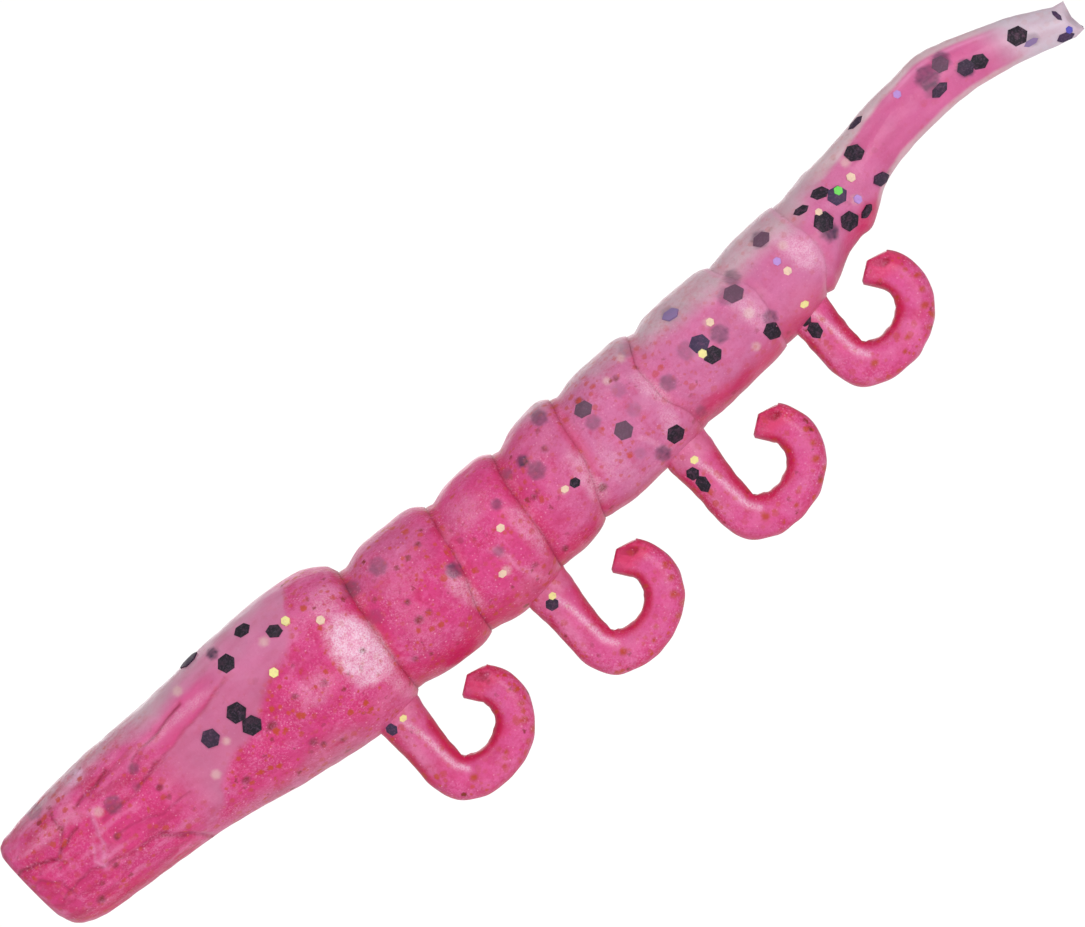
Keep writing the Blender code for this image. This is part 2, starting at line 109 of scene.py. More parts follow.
# Outline of the tail behind its dome: x, back, belly, half width
TAIL = (
    (56.80, 4.47, -1.12, 2.78), (57.30, 4.66, -0.82, 2.66), (58.00, 4.82, -0.10, 2.42),
    (58.70, 4.93, 0.20, 2.26), (59.60, 5.04, 0.24, 2.10), (60.30, 5.14, 0.66, 1.92),
    (61.60, 5.42, 1.62, 1.66), (62.70, 5.66, 2.08, 1.52), (64.00, 5.88, 2.38, 1.40),
    (65.50, 6.08, 2.60, 1.30), (67.20, 6.26, 2.76, 1.22), (69.00, 5.96, 2.76, 1.12),
    (71.00, 5.36, 2.50, 1.00), (72.80, 4.74, 2.14, 0.86), (74.20, 4.10, 1.78, 0.74),
    (75.00, 3.72, 1.58, 0.64),
)
TAIL_BENDS = (61.8, 66.6, 71.3)  # x of the tail's joints, where its pieces meet
TAIL_TIP = 76.0

LEGS = ((22.30, -5.05, 0.0, "head"), (33.13, -4.66, 0.39, "ring_2"), (43.97, -3.61, 1.44, "ring_4"))
LEGS += ((53.97, -1.50, 4.44, "ring_6"),)
# Centre line of the first leg: x beyond its hip's, z, radius in the lure's plane, radius across it
LEG_LINE = (
    (-0.10, -3.60, 1.46, 1.34), (-0.08, -5.20, 1.42, 1.30), (-0.04, -6.10, 1.30, 1.26),
    (0.00, -7.10, 1.22, 1.24), (0.04, -8.10, 1.22, 1.22), (0.18, -9.00, 1.28, 1.20),
    (0.60, -9.80, 1.32, 1.18), (1.36, -10.24, 1.24, 1.16), (2.40, -10.36, 1.15, 1.14),
    (3.40, -10.16, 1.13, 1.13), (4.24, -9.70, 1.13, 1.12), (4.88, -9.02, 1.13, 1.11),
    (5.20, -8.26, 1.13, 1.10), (5.22, -7.46, 1.12, 1.08), (4.96, -6.74, 1.10, 1.06),
    (4.66, -6.36, 1.08, 1.02),
)
LEG_CORNER = (0.30, 0.56)  # shares of a leg's length between which it bends
LEG_LENGTH = 16.6
PLUG_STEPS = np.array([0.0, 0.15, 0.30, 0.45, 0.60])  # how far a plug's rows lie beyond the cut
PLUG_SHARE = 0.978  # a plug's radius as a share of the skin's


def smooth(a, b, x):
    share = np.clip((np.asarray(x, float) - a) / (b - a), 0, 1)
    return share * share * (3 - 2 * share)


def curve_through(stations, xs):
    """Values after x of a row of stations, at xs, on a smooth curve through them."""
    table = np.array(stations, float)
    x = table[:, 0]
    out = []
    for column in table[:, 1:].T:
        slope = np.gradient(column, x)
        steep = np.diff(column) / np.diff(x)
        slope[0], slope[-1] = steep[0], steep[-1]
        i = np.clip(np.searchsorted(x, xs, "right") - 1, 0, len(x) - 2)
        width = x[i + 1] - x[i]
        t = np.clip((xs - x[i]) / width, 0, 1)
        out.append(
            (2 * t**3 - 3 * t**2 + 1) * column[i]
            + (t**3 - 2 * t**2 + t) * width * slope[i]
            + (3 * t**2 - 2 * t**3) * column[i + 1]
            + (t**3 - t**2) * width * slope[i + 1]
        )
    return out


def wobble(points, size, seed):
    """Smooth noise at points, about -1 to 1, with lumps of that size."""
    shift = Vector((seed * 7.3, seed * 3.1, seed * 5.7))
    return np.array([noise.noise(Vector(p) / size + shift) for p in points]) * 1.6


def around(count):
    return np.linspace(0, 2 * math.pi, count, endpoint=False)


def oval_row(x, top, bottom, half_width, angles):
    """Points round the lure, on an oval."""
    height = (top + bottom) / 2 + (top - bottom) / 2 * np.sin(angles)
    return np.stack([np.full(len(angles), x), half_width * np.cos(angles), height], 1)


def rim_offset(number, heights):
    """How far behind its centre a groove's lip lies at heights above the lure's axis."""
    table = np.array(RIMS[number - 1])
    spread = (-0.5, -0.25, 0, 0.25, 0.5)
    return sum(np.interp(heights + d, table[:, 0], table[:, 1]) for d in spread) / len(spread)


def ball_row(number, radius, behind, angles):
    """Points on the ball round a groove's centre, that far behind its lip. Inside the cup is negative."""
    x, z, _ = GROOVES[number - 1]
    heights = z + radius * np.sin(angles)
    offset = rim_offset(number, heights) + behind
    round_radius = np.sqrt(np.maximum(radius**2 - offset**2, 0.04))
    return np.stack([x + offset, round_radius * np.cos(angles), z + round_radius * np.sin(angles)], 1)


def add_object(name, data):
    made = bpy.data.objects.new(name, data)
    bpy.context.scene.collection.objects.link(made)
    return made


def mesh_object(name, rows):
    """A skin through equal rows of points, closed at its ends by a fan to the row's centre."""
    count = len(rows[0])
    faces = []
    for r in range(len(rows) - 1):
        a, b = r * count, (r + 1) * count
        faces += [(a + k, a + (k + 1) % count, b + (k + 1) % count, b + k) for k in range(count)]
    for centre, row, turn in ((len(rows) * count, 0, 1), (len(rows) * count + 1, len(rows) - 1, -1)):
        start = row * count
        for k in range(count):
            pair = (start + k, start + (k + 1) % count)[::-turn]
            faces.append((centre, *pair))
    points = np.concatenate([*rows, [rows[0].mean(0), rows[-1].mean(0)]])
    data = bpy.data.meshes.new(name)
    data.from_pydata((points * MM).tolist(), [], faces)
    made = bmesh.new()
    made.from_mesh(data)
    bmesh.ops.recalc_face_normals(made, faces=made.faces)
    made.to_mesh(data)
    made.free()
    data.shade_smooth()
    data.set_sharp_from_angle(angle=math.radians(70))
    return add_object(name, data)


# ---- head, rings and tail ----

def plug_rows(rows, radius):
    """Rows at the plug's steps beyond a piece's cut end, drawn in to a ball round the joint.

    The ball lies just inside the neighbour's skin, whose radius at the joint is given, and fills the crease
    when the joint turns. Its first row lies in the cut, so the skin ends in a sharp edge.
    """
    shares = np.sqrt(PLUG_SHARE**2 - (PLUG_STEPS / radius) ** 2)
    return [row.mean(0) + (row - row.mean(0)) * share for row, share in zip(rows, shares)]


def cup_rows(number, angles):
    """The inside of the cup behind a head or a ring, from its rim inwards."""
    radius = GROOVES[number - 1][2] + LIP_GAP
    return [ball_row(number, radius, -deep, angles) for deep in (0.0, 0.05, 0.3, 0.8, 1.4, 2.1)]


def head_rows():
    angles = around(int(44 / FINE))
    wrinkled = FINE * 0.55
    xs = np.concatenate([np.arange(0, 16.5, wrinkled), np.arange(16.5, 24.0, FINE)])
    top, bottom, half_width = curve_through(HEAD, xs)
    rows = []
    nose = oval_row(0, top[0], bottom[0], half_width[0], angles)
    for share in (0.12, 0.3, 0.5, 0.68, 0.84, 0.93):
        row = nose.mean(0) + (nose - nose.mean(0)) * share
        rows.append(row + np.array([-0.02, 0, 0]))
    cup = cup_rows(1, angles)
    for x, t, b, w in zip(xs, top, bottom, half_width):
        row = oval_row(x, t, b, w, angles)
        row[:, 0] += (cup[0][:, 0] - 24.1) * float(smooth(14, 24.1, x))  # the last rows follow the lip's line
        rows.append(row)
    for row in rows:
        # the nose slants back to the belly
        row[:, 0] += 0.11 * (2.4 - row[:, 2]) * (1 - smooth(0, 4, row[:, 0]))
    return rows + cup


def ring_rows(number):
    back_bulge, belly_bulge, side_bulge, shoulder = RINGS[number - 1]
    angles = around(int(2 * math.pi * 4.2 / FINE))
    radius = GROOVES[number - 1][2]
    dome = [ball_row(number, radius, behind, angles) for behind in np.linspace(-2.0, DOME_SHOWN, 18)]
    cup = cup_rows(number + 1, angles)
    front, back = dome[-1], cup[0]
    centres = GROOVES[number - 1][1], GROOVES[number][1]
    front_radius = np.hypot(front[:, 1], front[:, 2] - centres[0])
    back_radius = np.hypot(back[:, 1], back[:, 2] - centres[1])
    high = np.sin(angles) > 0
    bulge = side_bulge + (np.where(high, back_bulge, belly_bulge) - side_bulge) * np.sin(angles) ** 2
    length = back[:, 0] - front[:, 0]
    rows = dome
    count = int(length.max() / FINE * 1.15)
    for share in np.linspace(0, 1, count + 1)[1:-1]:
        x = front[:, 0] + length * share
        rise = 1 - np.exp(-((length * share / 0.95) ** 1.5))
        fall = 1 - np.maximum(0, 1 - length * (1 - share) / shoulder) ** 2.4
        z = centres[0] + (centres[1] - centres[0]) * share
        radius = front_radius + (back_radius - front_radius) * float(smooth(0, 1, share))
        radius += bulge * rise * fall
        rows.append(np.stack([x, radius * np.cos(angles), z + radius * np.sin(angles)], 1))
    return rows + cup


def tail_rows(start, end):
    """Rows of the tail from one x to another: a cut end has a plug, and the last piece the notched tip."""
    angles = around(int(14 / FINE))
    stop = min(end, TAIL[-1][0])
    xs = np.linspace(start, stop, max(4, int((stop - start) / FINE)))
    top, bottom, half_width = curve_through(TAIL, xs)
    rows = [oval_row(x, t, b, w, angles) for x, t, b, w in zip(xs, top, bottom, half_width)]
    if end in TAIL_BENDS:
        xs = end + PLUG_STEPS
        top, bottom, half_width = curve_through(TAIL, xs)
        beyond = [oval_row(x, t, b, w, angles) for x, t, b, w in zip(xs, top, bottom, half_width)]
        up_and_down = end == TAIL_BENDS[1]
        rows += plug_rows(beyond, (top[0] - bottom[0]) / 2 if up_and_down else half_width[0])
    if end > TAIL[-1][0]:
        last = rows[-1]
        middle = (top[-1] + bottom[-1]) / 2
        height = (top[-1] - bottom[-1]) / 2
        for share in np.linspace(0.12, 1, 9):
            row = last.copy()
            up = (row[:, 2] - middle) / height
            reach = 0.32 + 0.38 * np.abs(up) ** 1.6  # the notch lies between two points
            row[:, 0] += reach * share
            row[:, 1] *= math.sqrt(1 - 0.94 * share**2)
            row[:, 2] = middle + (row[:, 2] - middle) * (1 - 0.10 * share)
            rows.append(row)
    return rows


def tail_start_rows():
    angles = around(int(14 / FINE))
    dome = [ball_row(7, GROOVES[-1][2], behind, angles) for behind in np.linspace(-1.8, DOME_SHOWN, 16)]
    tube = tail_rows(57.0, TAIL_BENDS[0])
    for row in tube:
        row[:, 0] += (dome[-1][:, 0] - 56.65) * float(1 - smooth(57.0, 58.6, row[:, 0].mean()))
    return dome + tube


# ---- legs ----

def leg_frame(number, steps):
    """Centre, direction, and the two radii of a leg at steps from 0 to 1 along its line."""
    hip_x, _, lift, _ = LEGS[number - 1]
    line = np.array(LEG_LINE)
    run = np.concatenate([[0], np.cumsum(np.hypot(np.diff(line[:, 0]), np.diff(line[:, 1])))])
    run /= run[-1]
    stations = np.column_stack([run, line])
    x, z, in_plane, across = curve_through(stations, steps)
    ahead = curve_through(stations, np.clip(steps + 0.004, 0, 1))
    behind = curve_through(stations, np.clip(steps - 0.004, 0, 1))
    way = np.stack([ahead[0] - behind[0], ahead[1] - behind[1]], 1)
    way /= np.linalg.norm(way, axis=1)[:, None]
    return x + hip_x, z + lift, way, in_plane, across


def leg_joint(number, name):
    """Share of a leg's length at which its frame joint of that name lies."""
    joints = frame["record"]["behaviour"]["joints"]
    place = next(joint["pos_m"] for joint in joints if joint["name"] == f"leg_{number}_{name}")
    steps = np.linspace(0, 1, 600)
    x, z = leg_frame(number, steps)[:2]
    return steps[np.argmin(np.hypot(x - place[0] / MM, z - place[2] / MM))]


def leg_rows(number, first, last):
    """Rows of a leg between two shares of its length, with a plug at its end.

    The end of the last piece is the tip: cut at a slant, with a small dimple.
    """
    angles = around(int(11 / FINE))
    steps = np.linspace(first, last, max(6, int((last - first) * 28 / FINE)))
    if last < 1:
        steps = np.concatenate([steps, last + PLUG_STEPS / LEG_LENGTH])
    x, z, way, in_plane, across = leg_frame(number, steps)
    rows = []
    scallops = wobble(np.stack([steps * 16.5, np.full(len(steps), number), steps * 0], 1), 0.8, 11)
    for cx, cz, (wx, wz), a, c, step, scallop in zip(x, z, way, in_plane, across, steps, scallops):
        co = np.sign(np.cos(angles)) * np.abs(np.cos(angles)) ** 0.86
        si = np.sign(np.sin(angles)) * np.abs(np.sin(angles)) ** 0.86
        seam = np.exp(-((si / 0.3) ** 2))  # ragged along the mould's parting line
        wide = a + 0.05 * scallop * seam
        row = np.stack([cx - wz * wide * co, c * si, cz + wx * wide * co], 1)
        if LEG_CORNER[0] < step < LEG_CORNER[1]:  # the inner edge turns a sharp corner
            past = row[:, 0] - LEGS[number - 1][0] - 1.28
            above = row[:, 2] - LEGS[number - 1][2] + 8.95 + 0.15 * past
            inside = (past > 0) & (above > 0)
            row[inside & (past < above), 0] -= past[inside & (past < above)]
            row[inside & (past >= above), 2] -= above[inside & (past >= above)]
        rows.append(row)
    if last < 1:
        beyond = len(PLUG_STEPS)
        rows[-beyond:] = plug_rows(rows[-beyond:], in_plane[-beyond])
    if last >= 1:
        tip, (wx, wz) = rows[-1], way[-1]
        centre = tip.mean(0)
        inward = (tip[:, 0] - centre[0]) * -wz + (tip[:, 2] - centre[2]) * wx
        for share in (1.0, 0.99, 0.94, 0.84, 0.66, 0.45, 0.25, 0.1):
            row = centre + (tip - centre) * share
            # the end is cut square, with its outer edge taken off at a slant
            reach = 0.98 - 1.15 * np.maximum(0, -0.25 - inward * share)
            reach = np.maximum(reach, 0.12) - 0.16 * max(0.0, share - 0.82) / 0.18
            reach -= 0.10 * (1 - share)
            row[:, 0] += wx * reach
            row[:, 2] += wz * reach
            rows.append(row)
    return rows


# ---- paint ----

def colour(red, green, blue):
    """A display colour, 0 to 255, as the linear values that shaders use."""
    value = np.array([red, green, blue]) / 255
    return np.where(value < 0.04045, value / 12.92, ((value + 0.055) / 1.055) ** 2.4)


PINK = colour(219, 60, 130)
HOT = colour(226, 74, 142)
DEEP = colour(208, 34, 92)
RED = colour(176, 28, 66)
ROSE = colour(208, 116, 156)
MAUVE = colour(214, 120, 168)
GREY = colour(206, 178, 188)
CLEAR = colour(214, 198, 212)
# the next colour is the pale pink of painted highlights and glints
HIGHLIGHT_PINK = colour(240, 160, 200)
DARK = colour(74, 50, 78)
SLATE = colour(92, 70, 88)
CREAM = colour(232, 196, 190)
COPPER = colour(126, 40, 42)


class Coats:
    """The colour of each point, to which masks add coats of paint."""

    def __init__(self, count, ground):
        self.values = np.tile(ground, (count, 1))

    def coat(self, mask, shade):
        mask = np.clip(mask, 0, 1)[:, None]
        self.values = self.values * (1 - mask) + shade * mask


def blob(p, x, z, rx, rz, soft=0.35):
    """1 inside an ellipse in side view, falling to 0 over a soft edge."""
    away = np.hypot((p[:, 0] - x) / rx, (p[:, 2] - z) / rz)
    return 1 - smooth(1 - soft, 1 + soft, away)


def below(p, line, soft):
    """1 below a line through (x, z) points in side view, falling to 0 above it."""
    line = np.array(line)
    height = np.interp(p[:, 0], line[:, 0], line[:, 1])
    return 1 - smooth(-soft, soft, p[:, 2] - height)


def stroke(p, line, width):
    """1 on a line through (x, z) points in side view, falling off over its width."""
    line = np.array(line, float)
    away = np.full(len(p), 1e9)
    for a, b in zip(line, line[1:]):
        d = b - a
        t = np.clip(((p[:, 0] - a[0]) * d[0] + (p[:, 2] - a[1]) * d[1]) / (d @ d), 0, 1)
        away = np.minimum(away, np.hypot(p[:, 0] - a[0] - t * d[0], p[:, 2] - a[1] - t * d[1]))
    return np.exp(-((away / width) ** 2))


def hexagon_mask(p, x, z, flats, turn, soft):
    away = np.zeros(len(p))
    for k in range(3):
        angle = math.radians(turn + 60 * k)
        side = np.abs((p[:, 0] - x) * math.cos(angle) + (p[:, 2] - z) * math.sin(angle))
        away = np.maximum(away, side)
    return 1 - smooth(flats / 2 - soft, flats / 2 + soft, away)


# Lines on the head's sides, as (x, z) points, with width, depth and how dark: wrinkles and the edges of the
# solid pink stream inside. A negative depth stands up.
FURROWS = (
    (((0.2, 1.17), (1.6, 0.84), (2.5, 0.42), (3.2, 0.95), (4.4, 1.17)), 0.10, 0.11, 0.8),
    (((3.5, 2.5), (3.8, 1.7), (3.3, 1.15)), 0.08, 0.10, 0.6),
    (((0.2, -0.1), (1.0, 0.1), (1.7, -0.75), (2.0, -1.8)), 0.08, 0.07, 0.35),
    (((1.2, 0.35), (2.0, 0.85), (2.7, 0.1)), 0.08, 0.07, 0.5),
    (((5.0, 2.22), (6.1, 2.33), (7.6, 2.6)), 0.11, 0.10, 0.9),
    (((5.9, 0.55), (7.8, 0.74), (9.8, 1.17), (12.1, 1.6), (14.9, 2.24), (15.9, 2.6)), 0.10, 0.05, 0.35),
    (((8.4, 0.88), (9.3, 1.06), (10.6, 1.27)), 0.10, 0.06, 0.6),
    (((8.8, 1.6), (9.1, 2.0), (10.1, 2.5), (11.6, 2.85), (13.0, 3.1)), 0.10, 0.08, 0.7),
    (((1.4, -1.6), (3.3, -1.2), (5.3, -1.6), (6.8, -2.0), (8.2, -2.1)), 0.10, 0.07, 0.5),
    (((7.9, -2.1), (9.0, -2.9), (9.9, -3.8)), 0.11, 0.12, 0.8),
    (((6.0, -0.5), (8.2, -1.1), (10.4, -1.2)), 0.10, 0.05, 0.4),
    (((5.6, 1.4), (5.3, 0.3), (5.2, -0.6), (4.3, -1.35)), 0.15, -0.10, 0.0),
    (((4.2, -1.35), (3.9, -0.9), (4.6, 0.0)), 0.10, -0.06, 0.0),
)
# Glitter deep in the plastic, as soft hexagons: x, z, width across the flats, turn, how dark
DEEP_FLAKES = (
    (6.8, 0.92, 1.0, 10, 0.45), (8.9, 1.8, 0.6, 25, 0.45), (3.0, 3.35, 0.9, 5, 0.35),
    (16.2, 4.14, 0.62, 12, 0.8), (26.4, 2.3, 1.0, 15, 0.45), (24.5, 2.2, 0.9, 40, 0.45),
    (29.6, -0.45, 0.9, 22, 0.6), (24.6, 0.2, 0.8, 3, 0.25), (33.7, 0.97, 0.6, 18, 0.55),
    (32.2, -1.15, 0.6, 33, 0.4), (36.6, 1.08, 1.0, 8, 0.5), (38.5, 3.3, 0.9, 28, 0.55),
    (35.2, 1.95, 0.6, 14, 0.4), (36.3, 1.95, 0.65, 50, 0.85), (40.7, 1.25, 0.8, 12, 0.45),
    (42.9, 1.8, 0.8, 35, 0.22), (42.9, 0.4, 0.8, 5, 0.22), (42.7, -2.5, 0.85, 20, 0.6),
    (41.7, -1.7, 0.6, 44, 0.2), (45.3, 0.42, 0.9, 15, 0.5), (45.8, -1.95, 0.6, 30, 0.35),
    (49.2, 0.8, 1.0, 25, 0.55), (51.7, 2.8, 0.9, 9, 0.5), (52.0, -0.2, 0.8, 38, 0.55),
    (47.7, 3.4, 0.8, 20, 0.35), (44.6, 3.3, 0.8, 11, 0.25), (54.2, 3.55, 0.9, 2, 0.6),
    (57.5, 1.5, 1.0, 16, 0.8), (67.1, 4.9, 1.3, 12, 0.6), (68.3, 5.2, 0.95, 33, 0.6),
    (66.9, 4.2, 0.9, 47, 0.4), (69.1, 4.0, 0.95, 8, 0.8), (73.0, 3.0, 0.7, 55, 0.35),
    (8.4, 0.9, 0.5, 55, 0.25), (50.8, 2.2, 1.0, 50, 0.35), (47.2, 1.2, 1.0, 30, 0.3),
)
PALE_FLAKES = (
    (18.9, 2.9, 0.5, 15), (12.3, -1.25, 0.5, 5), (5.9, 1.1, 0.5, 22), (13.9, -0.15, 0.4, 9),
    (13.4, 3.7, 0.5, 30), (31.9, -2.25, 0.5, 12), (37.1, -0.7, 0.4, 28), (51.2, 0.7, 0.55, 14),
    (42.7, 2.6, 0.4, 7), (50.4, -1.0, 0.45, 11), (55.0, 2.5, 0.5, 40), (49.1, 1.7, 0.45, 3),
    (44.1, 3.1, 0.4, 20), (59.8, 2.0, 0.5, 12), (60.6, 4.0, 0.5, 33),
)
# Painted highlights, a soft sheen on the body: x, z, half length, half height, strength
PAINTED_SHEENS = (
    (29.4, -1.7, 0.5, 1.2, 0.40), (34.1, -1.2, 0.5, 1.6, 0.32), (38.5, -0.9, 0.55, 1.5, 0.40),
    (44.3, 0.7, 0.5, 1.3, 0.40), (51.4, 0.8, 0.6, 1.3, 0.40), (55.5, 1.7, 0.8, 1.3, 0.55),
    (12.5, 2.6, 2.6, 0.30, 0.22), (19.6, -1.0, 1.4, 0.8, 0.22), (22.8, 2.4, 0.8, 1.0, 0.35),
    (23.4, -3.2, 0.5, 1.2, 0.35), (27.0, 0.6, 1.2, 0.7, 0.12), (3.0, 1.9, 1.6, 0.4, 0.20),
    (26.2, -1.4, 1.0, 1.6, 0.12), (32.0, 1.8, 1.2, 0.8, 0.15), (43.9, -1.3, 0.5, 0.9, 0.35),
    (40.3, -1.2, 0.7, 1.3, 0.2),
)
# Brown spots: x, z, width
SPOTS = (
    (2.97, -2.8, 0.42), (13.4, -2.55, 0.42), (16.4, -1.0, 0.5), (17.65, -3.15, 0.4), (18.0, -3.6, 0.3),
    (19.0, -4.1, 0.3), (20.15, -0.95, 0.36), (22.9, -0.85, 0.3), (18.4, -0.55, 0.32), (26.4, -1.44, 0.42),
    (27.1, -1.4, 0.3), (26.5, -0.25, 0.3), (35.6, 0.0, 0.3), (37.7, 1.75, 0.32), (40.8, 2.65, 0.4),
    (38.9, -1.9, 0.42), (43.2, 2.4, 0.3), (35.2, -3.3, 0.3), (5.9, -0.6, 0.36), (4.8, -1.8, 0.3),
    (9.4, 0.1, 0.34), (33.3, -3.0, 0.28), (28.9, 1.9, 0.3), (24.9, -3.0, 0.3),
)
# Copper spots of a leg, from its hip: x, z, width
LEG_SPOTS = (
    (1.07, -10.2, 0.40), (5.35, -10.1, 0.36), (5.25, -9.4, 0.40), (3.35, -10.2, 0.26), (5.9, -7.8, 0.30),
    (5.7, -8.6, 0.34), (2.8, -10.75, 0.26), (4.3, -8.1, 0.22), (0.2, -6.3, 0.2), (4.7, -10.5, 0.3),
)


def paint_body(piece):
    """Colours of head, rings and tail, with painted light and shade, and where specks and pearl highlight
    lie.
    """
    p = points_of(piece)
    q = p.copy()
    far = p[:, 1] > 0
    # the far side is like the near one, but not its mirror image
    q[far, 0] += 0.9 * np.sin(p[far, 2] * 0.9) + 0.35
    large, small = wobble(p, 3.2, 1), wobble(p, 0.9, 2)
    q[:, 0] += 0.35 * large + 0.12 * small
    q[:, 2] += 0.25 * wobble(p, 2.4, 3) + 0.10 * wobble(p, 0.7, 4)
    x, z = q[:, 0], q[:, 2]

    tint = Coats(len(p), PINK)
    # mauve towards the tail, where the core lies deeper
    tint.coat(smooth(33.5, 41, x) * 0.9 * (1 - smooth(60, 66, x)), MAUVE)
    tint.coat(smooth(60, 64, x), colour(217, 104, 158))
    tint.coat(smooth(29.6, 30.6, x) * (1 - smooth(33.5, 35.5, x)) * 0.6, HOT)
    tint.coat(smooth(24, 25, x) * (1 - smooth(29, 30.5, x)) * smooth(0, 2.6, z) * 0.5, MAUVE)
    # the clear window across the head, with a stream of solid pink in it
    solid = ((8, -4.5), (11.5, -2.9), (12.1, -2.0), (13.2, -1.4), (15.1, -0.85), (16.4, 0.1), (18.1, 0.95))
    solid += ((19.6, 1.6), (20.4, 2.4), (21.3, 4.2), (21.7, 4.8), (24, 6))
    window = 1 - below(q, solid, 0.4)
    window *= smooth(8.5, 12, x) * (1 - smooth(21.0, 21.8, x))
    stream = below(q, ((4, 3.0), (8.9, 2.9), (11, 3.2), (13.2, 3.4), (15.4, 3.7)), 0.3)
    under = ((4, 0.3), (7.8, 0.74), (9.8, 1.17), (12.1, 1.6), (14.9, 2.24), (16.4, 2.77))
    stream *= 1 - below(q, under, 0.22)
    stream *= smooth(4.5, 6.5, x) * (1 - smooth(14.2, 16.4, x))
    tint.coat(window * 0.9, ROSE)
    tint.coat(window * smooth(2.6, 4.2, z) * 0.6, colour(216, 150, 176))
    tint.coat(stream * 0.85, PINK)
    # painted light: the upper half of the head is a lighter pink, as where the light from above falls
    tint.coat(smooth(0.6, 3.0, z) * (1 - smooth(23.5, 24.5, x)) * 0.28, colour(236, 128, 188))
    # grey clear skin along the back; deep red painted along the belly as painted shade, where less light
    # reaches
    back = np.interp(
        x,
        (0, 4, 8, 13, 19, 24, 30, 37, 42, 46, 50, 56, 58, 62, 66),
        (3.0, 3.2, 3.4, 3.9, 4.7, 6, 6, 3.9, 3.3, 2.8, 2.6, 2.9, 3.8, 5.4, 9),
    )
    tint.coat(smooth(-0.6, 0.9, z - back) * 0.92, GREY)
    belly = np.interp(
        x,
        (0, 9, 10, 22, 24, 30, 34, 40, 44, 46, 52, 56, 60, 62, 66, 76),
        (-2.6, -3.2, -9, -9, -3.5, -3.5, -3.1, -3.2, -3.1, -1.6, -1.1, -0.3, 1.3, 1.5, -9, -9),
    )
    tint.coat((1 - smooth(-0.6, 0.35, z - belly)) * 0.8, DEEP)
    under = smooth(8.5, 10, x) * (1 - smooth(19, 21, x)) * (1 - smooth(-4.2, -3.2, z))
    tint.coat(under * 0.7, colour(204, 106, 140))
    # the tail's pink core follows its outline, under a thin clear skin
    top, bottom, _ = curve_through(TAIL, np.clip(p[:, 0], 57, 75))
    margin = np.interp(p[:, 0], (57, 60, 63, 66, 72, 74), (1.0, 0.8, 0.55, 0.36, 0.34, 0.7))
    clear = smooth(58, 60, x) * smooth(-0.16, 0.12, p[:, 2] - top + margin + 0.05 * small)
    tint.coat(clear * 0.9, colour(218, 194, 200))
    clear = smooth(60, 61.5, x) * smooth(-0.12, 0.10, bottom + 0.26 - p[:, 2] + 0.04 * small)
    tint.coat(clear * 0.85, colour(220, 184, 192))
    # painted highlight: a pale pink line along the tail's back, inside its clear band
    line = np.exp(-(((p[:, 2] - top + margin + 0.22) / 0.10) ** 2))
    line *= smooth(64, 66, x) * (1 - smooth(70, 73, x))
    tint.coat(line * 0.6, colour(244, 160, 205))
    tint.coat(smooth(69.6, 72.9, x) * 0.94, CLEAR)
    # nose
    tint.coat((1 - smooth(0, 9, x)) * smooth(-0.3, 0.8, small + 0.5 * large) * 0.5, DEEP)
    tint.coat(blob(q, 4.9, -1.3, 1.2, 0.6) * 0.5, colour(226, 110, 160))
    # painted highlight: a near-white glare spot high on the nose
    tint.coat(blob(q, 6.1, 3.45, 0.5, 0.3, 0.6) * 0.8, colour(240, 205, 235))
    # the crumpled nose is streaked deep red, with pale streaks of painted highlight as glints
    streaks = wobble(p * (0.28, 1, 1), 0.5, 13)
    crumpled = 1 - smooth(9, 12, x) * 0.75
    tint.coat(smooth(0.15, 0.8, streaks) * 0.42 * crumpled, RED)
    tint.coat(smooth(0.2, 0.9, -streaks) * 0.30 * crumpled, HIGHLIGHT_PINK)
    # the lines are painted darker red; a raised line is also painted paler, for its clearer plastic and as a
    # painted highlight on its crest
    for line, width, depth, dark in FURROWS:
        tint.coat(stroke(q, line, width * 2.2) * dark * 0.4, DEEP)
        tint.coat(stroke(q, line, width * 0.9) * dark * (1 + 0.3 * small), colour(146, 28, 62))
        if depth < 0:
            tint.coat(stroke(q, line, width) * 0.5, colour(236, 160, 200))
    # painted shade: darker and redder in the grooves, where shade falls between the rings; a painted
    # highlight along the rear rims
    for number, (gx, _, _) in enumerate(GROOVES, 1):
        ahead = p[:, 0] - gx - rim_offset(number, p[:, 2])
        strength = np.interp(gx, (24, 36, 44, 52), (0.75, 0.6, 0.3, 0.12))
        tint.coat((smooth(-0.5, -0.05, ahead) * (1 - smooth(0.1, 0.9, ahead))) * strength, DEEP)
        seam = np.exp(-(((ahead - 0.05) / 0.13) ** 2))
        tint.coat(seam * np.interp(gx, (24, 36, 44, 52), (0.75, 0.6, 0.3, 0.0)), RED)
        tint.coat(np.exp(-(((ahead + 0.15) / 0.16) ** 2)) * np.interp(gx, (40, 52), (0, 0.4)), HIGHLIGHT_PINK)
    # painted highlight: pearl sheen painted on the collar, on the rings' rear shoulders and on the bulb
    # before the tail
    pearl_highlight = blob(p, 22.7, -0.8, 1.35, 2.4, 0.3) * (1 - below(q, ((20, -2.5), (25, -3.1)), 0.3))
    for sx, sz, wide, high, strength in PAINTED_SHEENS:
        pearl_highlight = np.maximum(pearl_highlight, blob(q, sx, sz, wide, high, 0.6) * strength)
    pearl_highlight *= np.clip(0.85 + 0.35 * wobble(p, 0.45, 14), 0, 1)
    tint.coat(pearl_highlight * 0.9, colour(242, 166, 204))
